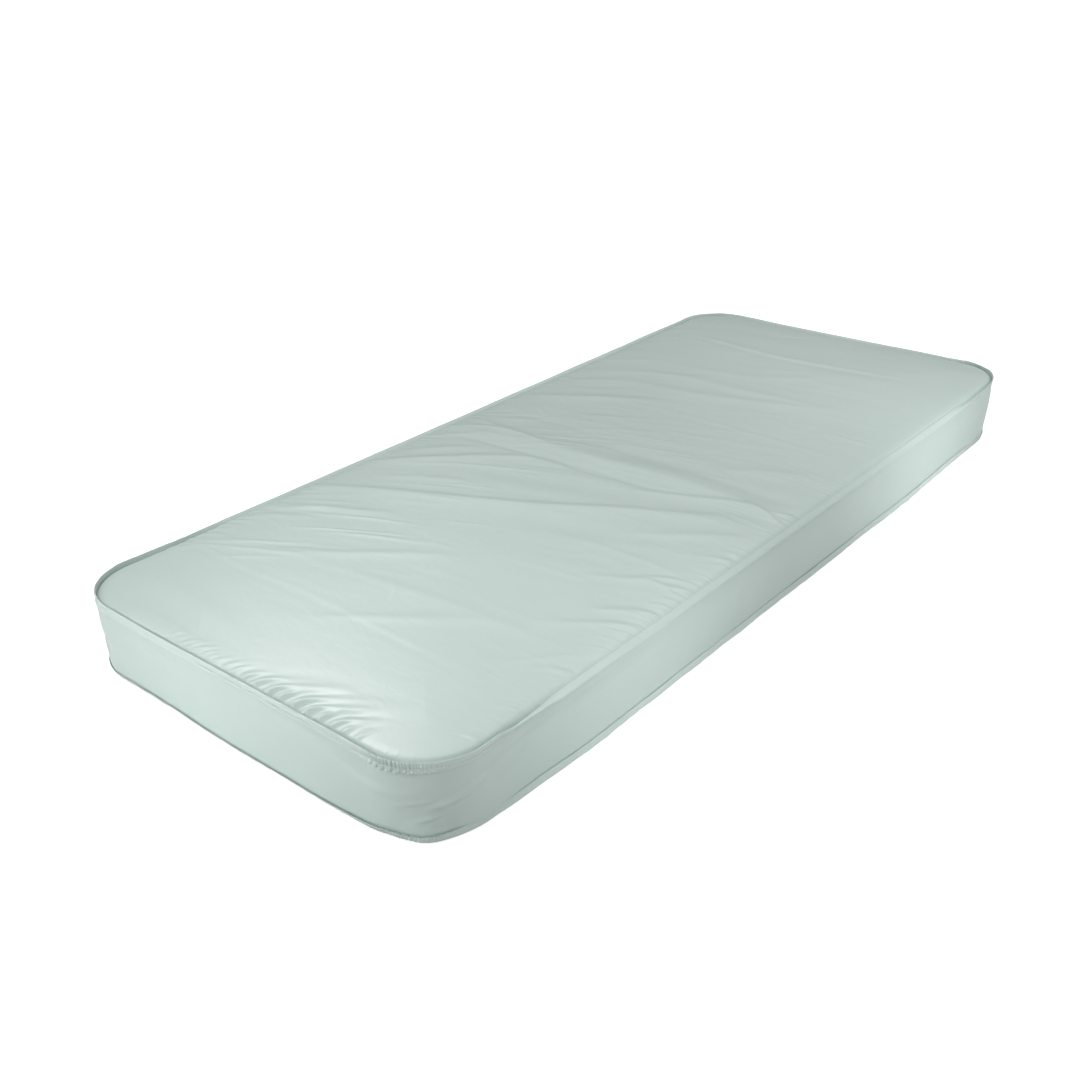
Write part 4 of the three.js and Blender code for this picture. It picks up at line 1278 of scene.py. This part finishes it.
def thread_mat(name, colour):
    """Twisted thread."""
    mat = Material(name)
    twist = mat.node("TexWave", {"Vector": mat.mapped(), "Scale": 900, "Distortion": 1.5},
                     wave_type="BANDS", bands_direction="DIAGONAL").outputs["Fac"]
    fibre = mat.noise(scale=900, detail=3, roughness=0.6)
    twist_share, blotch_share = 0.5, 0.25
    tint = mat.mix(mat.times(twist, twist_share), colour, shade(colour, 0.78))
    blotch = mat.times(mat.noise(scale=7, detail=3), blotch_share)
    normal = mat.bump(fibre, distance=0.00005, strength=0.4)
    mat.surface({
        "Base Color": mat.mix(blotch, tint, shade(colour, 0.85)),
        "Roughness": 0.62, "Sheen Weight": 0.4,
        "Normal": mat.bump(twist, distance=0.00012, strength=0.6, normal=normal)})
    return mat.data


def weave_mat(name, colour, pitch, axes="XZ", rough=0.8, depth=0.0001):
    """Plain weave of yarns along two axes at `pitch`."""
    mat = Material(name)
    split = mat.node("SeparateXYZ", {0: mat.coords})
    warp, sway = mat.noise(scale=40), 1.5
    yarns = [mat.maths("SINE", mat.add(mat.times(split.outputs[axis], math.pi / pitch),
                                       mat.times(warp, sway))) for axis in axes]
    # the product runs -1..1 and is brought to 0..1
    height = mat.add(mat.times(mat.times(*yarns), 0.5), 0.5)
    fuzz = mat.noise(scale=2200, detail=2, roughness=0.6)
    tint = mat.mix(height, shade(colour, 0.74), colour)
    blotch_share, fuzz_rough = 0.22, 0.12
    blotch = mat.times(mat.noise(scale=5, detail=3), blotch_share)
    normal = mat.bump(fuzz, distance=depth * 0.4, strength=0.4)
    mat.surface({
        "Base Color": mat.mix(blotch, tint, shade(colour, 0.88)),
        "Roughness": mat.add(rough - 0.05, mat.times(fuzz, fuzz_rough)),
        "Sheen Weight": 0.25,
        "Normal": mat.bump(height, distance=depth, strength=0.7, normal=normal)})
    return mat.data


def nylon(name, colour):
    mat = Material(name)
    mottle = mat.noise(scale=260, detail=3, roughness=0.6)
    least_rough, rough_span = 0.24, 0.16
    mat.surface({
        "Base Color": mat.mix(mottle, shade(colour, 0.86), colour),
        "Roughness": mat.add(least_rough, mat.times(mottle, rough_span)),
        "Subsurface Weight": 0.08, "Subsurface Radius": (0.001, 0.001, 0.001),
        "Normal": mat.bump(mottle, distance=0.00005, strength=0.3)})
    return mat.data


def metal(name, colour):
    """Brushed and faintly spotted metal."""
    mat = Material(name)
    brushed = mat.noise(scale=60, detail=3, roughness=0.6, stretch=(40, 1, 40))
    spots = mat.ramp(mat.noise(scale=420, detail=4, roughness=0.65),
                     start=(0.45, 0.0), end=(0.75, 1.0))
    least_rough, rough_span = 0.20, 0.22
    mat.surface({
        "Base Color": mat.mix(spots, colour, shade(colour, 0.78)), "Metallic": 1.0,
        "Roughness": mat.add(least_rough, mat.times(brushed, rough_span)),
        "Normal": mat.bump(brushed, distance=0.00003, strength=0.35)})
    return mat.data


def foam(name, colour, cell):
    """Open foam with cells of the given size."""
    mat = Material(name)
    cells = mat.voronoi(scale=1 / cell)
    coarse = mat.voronoi(scale=0.35 / cell)
    pores = mat.ramp(cells, start=(0.15, 0.0), end=(0.55, 1.0))
    tint = mat.mix(pores, shade(colour, 0.62), colour)
    blotch_share = 0.30
    yellowed = (colour[0] * 0.92, colour[1] * 0.86, colour[2] * 0.70)
    blotch = mat.times(mat.noise(scale=4, detail=3), blotch_share)
    normal = mat.bump(coarse, distance=0.0008, strength=0.35)
    mat.surface({
        "Base Color": mat.mix(blotch, tint, yellowed), "Roughness": 0.95,
        "Subsurface Weight": 0.10, "Subsurface Radius": (0.004, 0.003, 0.002),
        "Normal": mat.bump(cells, distance=0.0006, strength=0.8, normal=normal)})
    return mat.data


def dress(ob, material):
    ob.data.materials.clear()
    ob.data.materials.append(material)


# ---------------------------------------------------------------- fitting the frame's own pieces
def give(ob, material, slot, *nodes):
    """Hand a piece to the frame, in place of the named nodes."""
    dress(ob, material)
    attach(ob, "mattress")
    if nodes:
        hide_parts(*nodes)


def finish_edges(ob, width, angle):
    """Weld, and round the edges sharper than angle when a width is given."""
    weld = ob.modifiers.new("weld", "WELD")
    weld.merge_threshold = 1e-5
    if width:
        bevel = ob.modifiers.new("edges", "BEVEL")
        bevel.width = width
        bevel.segments = 2
        bevel.limit_method = "ANGLE"
        bevel.angle_limit = math.radians(angle)
        bevel.use_clamp_overlap = True
        for poly in ob.data.polygons:
            poly.use_smooth = True


def soften(node, width, material, angle=30):
    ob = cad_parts[node]
    finish_edges(ob, width, angle)
    dress(ob, material)


def corner_fit(node, inset, clear, width, material, slot, side_inset=None):
    """The node's own shape with its corners drawn in as the cover's lean in to the floor."""
    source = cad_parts[node]
    mesh = source.data.copy()
    matrix = np.array(source.matrix_world)
    points = np.empty(len(mesh.vertices) * 3)
    mesh.vertices.foreach_get("co", points)
    points = points.reshape(-1, 3) @ matrix[:3, :3].T + matrix[:3, 3]
    z = points[:, 2].copy()
    level = np.clip((z - BASE_Z) / (SEAM_Z - BASE_Z), 0, 1)
    radius = BASE_R + (SEAM_R - BASE_R) * ease(level, 0.0, 0.9)
    centre_x, centre_y = HALF_LEN - radius, HALF_WID - radius
    past_x, past_y = np.abs(points[:, 0]) - centre_x, np.abs(points[:, 1]) - centre_y
    if side_inset is not None:
        # the straight sides of a knitted piece lie against the foam
        for k, half in ((0, HALF_LEN), (1, HALF_WID)):
            depth = half - np.abs(points[:, k])
            wanted = side_inset + (depth - inset) * 0.65
            on_side = (depth < 0.010) & (z > 0.004) & (z < 0.1405)
            move = np.where(on_side, np.maximum(wanted - depth, 0), 0)
            points[:, k] -= np.sign(points[:, k]) * move
    on_corner = (past_x > 0) & (past_y > 0)
    angle = np.arctan2(np.where(on_corner, past_y, 1), np.where(on_corner, past_x, 1))
    cos, sin = np.cos(angle), np.sin(angle)
    # radius of the node's own outline seen from the same centre
    off_x, off_y = (HALF_LEN - OUTLINE_R) - centre_x, (HALF_WID - OUTLINE_R) - centre_y
    toward = off_x * cos + off_y * sin
    square = toward ** 2 - off_x ** 2 - off_y ** 2 + (OUTLINE_R - inset) ** 2
    own = toward + np.sqrt(np.maximum(square, 0))
    pull = np.where(on_corner, np.maximum(own - (radius - clear), 0), 0)
    points[:, 0] -= np.sign(points[:, 0]) * pull * cos
    points[:, 1] -= np.sign(points[:, 1]) * pull * sin
    mesh.vertices.foreach_set("co", points.astype(np.float32).reshape(-1))
    mesh.update()
    mesh.name = node + "_fitted"
    ob = link_object(node + "_fitted", mesh)
    finish_edges(ob, width, angle=40)
    give(ob, material, slot, node)


# ---------------------------------------------------------------- build the pieces
top = build_top()
base = build_base()
border, zip_lower, zip_upper = build_border()
top_tape = tape("top_edge_tape_cover", TOP_PROFILE, top_frame, seed=81, up=True)
base_tape = tape("base_edge_tape_cover", BASE_PROFILE, base_frame, seed=91, up=False)
# by the zip half of the foot the thread is buried under the roll of the border
top_thread = tape_stitches("top_tape_stitches", top_frame, reach=0.0015, seed=5,
                           gap=(ZIP + 1.80, FOOT + 0.25))
base_thread = tape_stitches("base_tape_stitches", base_frame, reach=-0.0004, seed=6)
coil_upper, coil_lower = coil("zip_coil_upper_teeth", 1), coil("zip_coil_lower_teeth", -1)
TAPE_NEAR, TAPE_FAR = 0.0016, 0.021      # edges of the woven tapes from the zip's centre line
weave_upper = zip_tape("zip_tape_upper_weave", (ZIP_Z + TAPE_NEAR, ZIP_Z + TAPE_FAR))
weave_lower = zip_tape("zip_tape_lower_weave", (ZIP_Z - TAPE_FAR, ZIP_Z - TAPE_NEAR))
ROW_A, ROW_B, ROW_END = 0.0022, 0.0082, 0.861     # two stitch rows each side of the opening
zip_threads = [
    run_stitches("zip_stitches_" + row, [(x, ZIP_FACE_Y + 0.00022, z) for x in (-ROW_END, ROW_END)])
    for row, z in (("upper_a", OPEN_HI + ROW_A), ("upper_b", OPEN_HI + ROW_B),
                   ("lower_a", OPEN_LO - ROW_A), ("lower_b", OPEN_LO - ROW_B))]
patches = {name: end_patch(name, x_range) for name, x_range in
           (("head", (0.8635, 0.9025)), ("foot", (-0.9025, -0.8635)))}
label = care_label()

MINT, MINT_DARK = (0.490, 0.586, 0.556), (0.466, 0.562, 0.532)
cover_mat = vinyl("coated_cover", MINT, MINT_DARK)
border_mat = vinyl("coated_border", MINT, MINT_DARK, wrinkle=0.7)
# the edge tapes are the cover's own vinyl in a lighter mint: painted light, standing in for light
# thrown up from the floor under the edges
lightened_tape_mat = vinyl("edge_tape", base=(0.525, 0.625, 0.588), dark=(0.490, 0.592, 0.553),
                 rough=0.38, crest_and_crease_tone=0.22, wrinkle=1.2)
base_mat = vinyl("coated_base", base=(0.420, 0.525, 0.486), dark=(0.390, 0.495, 0.455),
                 rough=0.5, wrinkle=1.4)
stitch_mat = thread_mat("stitch_thread", colour=(0.80, 0.80, 0.73))
zip_tape_mat = weave_mat("zip_tape_weave", colour=(0.46, 0.56, 0.52), pitch=0.0011)
label_mat = weave_mat("label_satin", colour=(0.86, 0.86, 0.84), pitch=0.0007, rough=0.5,
                      depth=0.00004)
sock_mat = weave_mat("fire_sock_knit", colour=(0.84, 0.83, 0.78), pitch=0.0026, axes="XY",
                     rough=0.92, depth=0.0006)
coil_mat = nylon("zip_coil_nylon", colour=(0.55, 0.65, 0.61))
metal_mat = metal("zip_nickel", colour=(0.70, 0.70, 0.69))
firm_mat = foam("firm_foam_cells", colour=(0.66, 0.62, 0.42), cell=0.0013)
zone_mat = foam("zone_foam_cells", colour=(0.80, 0.76, 0.65), cell=0.0011)
visco_mat = foam("visco_foam_cells", colour=(0.82, 0.70, 0.42), cell=0.0008)

give(top, cover_mat, "cover", "top_panel")
give(base, base_mat, "cover", "base_panel")
give(border, border_mat, "cover", "side_border")
give(zip_upper, border_mat, "cover", "zip_panel_upper")
give(zip_lower, border_mat, "cover", "zip_panel_lower")
give(top_tape, lightened_tape_mat, "edge_tape", "top_edge_tape")
give(base_tape, lightened_tape_mat, "edge_tape", "base_edge_tape")
give(top_thread, stitch_mat, "thread", "top_tape_stitching")
give(base_thread, stitch_mat, "thread", "base_tape_stitching")
give(coil_upper, coil_mat, "zip_coil", "zip_coil_upper")
give(coil_lower, coil_mat, "zip_coil", "zip_coil_lower")
give(weave_upper, zip_tape_mat, "zip_tape", "zip_tape_upper")
give(weave_lower, zip_tape_mat, "zip_tape", "zip_tape_lower")
for thread in zip_threads:
    give(thread, stitch_mat, "thread")
for name, (patch, sewn) in patches.items():
    give(patch, border_mat, "cover", "zip_end_patch_" + name)
    give(sewn, stitch_mat, "thread")
give(label, label_mat, "label", "care_label")

for node in ("zip_slider_body", "zip_pull_tab"):
    soften(node, 0.00022, metal_mat)
for node in ("zip_top_stop_upper", "zip_top_stop_lower", "zip_bottom_stop"):
    soften(node, 0.00030, metal_mat)
for node in ("base_foam", "bolster_zip_side", "bolster_plain_side"):
    corner_fit(node, inset=0.0064, clear=0.0125, width=0.0016, material=firm_mat,
               slot="firm_foam")
for node in ("zone_foam_heel", "zone_foam_leg", "zone_foam_torso", "zone_foam_head"):
    soften(node, 0.0012, zone_mat, angle=40)
soften("topper_foam", 0.0016, visco_mat, angle=40)
corner_fit("fire_barrier_sock", inset=0.0030, clear=0.0105, width=0, material=sock_mat,
           slot="fire_sock", side_inset=0.0052)

# ---------------------------------------------------------------- stage, light, camera
FLOOR_GLOW = 0.62       # what the floor adds to the camera's view only
# (name, place, aim, size, power in watts, spread in degrees, seen in reflections)
LIGHTS = [
    ("foot_key", (-3.07, 0.95, 1.35), (-0.85, 0.0, 0.10), 1.1, 8, 180, True),
    ("foot_high", (-2.60, -0.90, 1.50), (-0.75, -0.10, 0.12), 0.9, 0.95, 100, True),
    ("foot_low", (-2.75, 0.85, 0.50), (-1.067, 0.06, 0.075), 0.5, 1.15, 40, True),
    ("over_far", (-0.10, 1.25, 1.78), (-0.89, -0.29, 0.12), 0.5, 1.04, 50, True),
    ("over_head", (1.25, 0.15, 1.80), (-0.10, -0.40, 0.12), 0.5, 1.9, 180, True),
    ("near_mid", (-0.10, -2.05, 0.75), (-0.50, -0.45, 0.08), 0.8, 1.5, 90, False),
    ("near_head", (0.75, -1.95, 0.75), (0.66, -0.45, 0.10), 0.7, 0.40, 70, False),
    ("near_foot", (-0.90, -1.70, 0.45), (-0.55, -0.457, 0.09), 0.35, 0.29, 35, False),
    ("near_patch", (0.60, -1.70, 0.55), (0.62, -0.457, 0.10), 0.35, 0.46, 40, False),
    ("head_near", (1.50, -1.60, 1.30), (0.75, -0.35, 0.14), 0.5, 0.34, 50, False),
]


def build_floor():
    half, z = 30, -0.0004
    mesh = bpy.data.meshes.new("floor")
    mesh.from_pydata([(-half, -half, z), (half, -half, z), (half, half, z), (-half, half, z)],
                     [], [(0, 1, 2, 3)])
    ob = link_object("floor", mesh)
    mat = Material("floor_pale")
    mottle = mat.noise(scale=3, detail=3)
    seen = mat.node("LightPath").outputs["Is Camera Ray"]
    mat.surface({
        "Base Color": mat.mix(mottle, (0.80, 0.80, 0.80), (0.83, 0.83, 0.83)),
        "Roughness": 0.9, "Specular IOR Level": 0.1,
        "Emission Color": (1, 1, 1, 1), "Emission Strength": mat.times(seen, FLOOR_GLOW)})
    dress(ob, mat.data)


def area_light(name, location, aim, size, power, spread, mirrored):
    light = bpy.data.lights.new(name, "AREA")
    light.shape = "RECTANGLE"
    light.size, light.size_y = size, size
    light.energy = power
    light.spread = math.radians(spread)
    ob = link_object(name, light)
    ob.location = location
    ob.rotation_mode = "QUATERNION"
    ob.rotation_quaternion = (Vector(aim) - Vector(location)).to_track_quat("-Z", "Y")
    ob.visible_glossy = mirrored


def studio_sky():
    """A white cove for the camera; for the object, a soft ceiling brighter to one side."""
    world = bpy.data.worlds.new("studio")
    SCENE.world = world
    world.use_nodes = True
    sky = Graph(world.node_tree)
    output = sky.node("OutputWorld")
    coords = sky.node("TexCoord").outputs["Generated"]
    split = sky.node("SeparateXYZ", {0: coords})
    ceiling = sky.node("MapRange", {
        "From Min": -0.1, "From Max": 0.95, "To Min": 0.0, "To Max": 0.965,
        "Value": split.outputs["Z"]}, interpolation_type="SMOOTHSTEP")
    # dimmer towards the foot end and plain side, brighter towards the head end and zip side
    dim_side, tilt = (-0.71, -0.71, 0.0), 0.18
    facing = sky.node("VectorMath", {0: coords, 1: dim_side}, operation="DOT_PRODUCT")
    sideways = sky.node("MapRange", {
        "From Min": -1.0, "From Max": 1.0, "To Min": 1.0 + tilt, "To Max": 1.0 - tilt,
        "Value": facing.outputs["Value"]})
    glow = sky.node("Math", {0: ceiling.outputs["Result"], 1: sideways.outputs["Result"]},
                    operation="MULTIPLY")
    seen = sky.node("LightPath").outputs["Is Camera Ray"]
    strength = sky.node("Mix", {"Factor": seen, "A": glow.outputs[0], "B": 1.0})
    backdrop = sky.node("Background", {
        "Color": (1, 1, 1, 1), "Strength": strength.outputs["Result"]})
    sky.feed(output.inputs["Surface"], backdrop.outputs[0])


def build_camera():
    """Camera aimed at a point on the floor plane, from the foot end and plain side."""
    heading, downward, roll = [math.radians(a) for a in (40.30, 27.24, -1.34)]
    distance = 2.723
    target = Vector((0.899 - HALF_LEN, 0.087, 0.0))
    view = Vector((math.cos(downward) * math.cos(heading),
                   math.cos(downward) * math.sin(heading), -math.sin(downward)))
    level = view.cross(Vector((0, 0, 1))).normalized()
    upright = level.cross(view)
    right = math.cos(roll) * level + math.sin(roll) * upright
    up = -math.sin(roll) * level + math.cos(roll) * upright
    data = bpy.data.cameras.new("camera")
    data.sensor_width = 36
    data.lens = 41.26
    data.clip_start, data.clip_end = 0.05, 100
    ob = link_object("camera", data)
    axes = Matrix((right, up, -view)).transposed()
    ob.matrix_world = Matrix.Translation(target - distance * view) @ axes.to_4x4()
    SCENE.camera = ob


build_floor()
for row in LIGHTS:
    area_light(*row)
studio_sky()
SCENE.view_settings.view_transform = "Standard"
SCENE.view_settings.look = "None"
SCENE.view_settings.exposure = 0.0
build_camera()
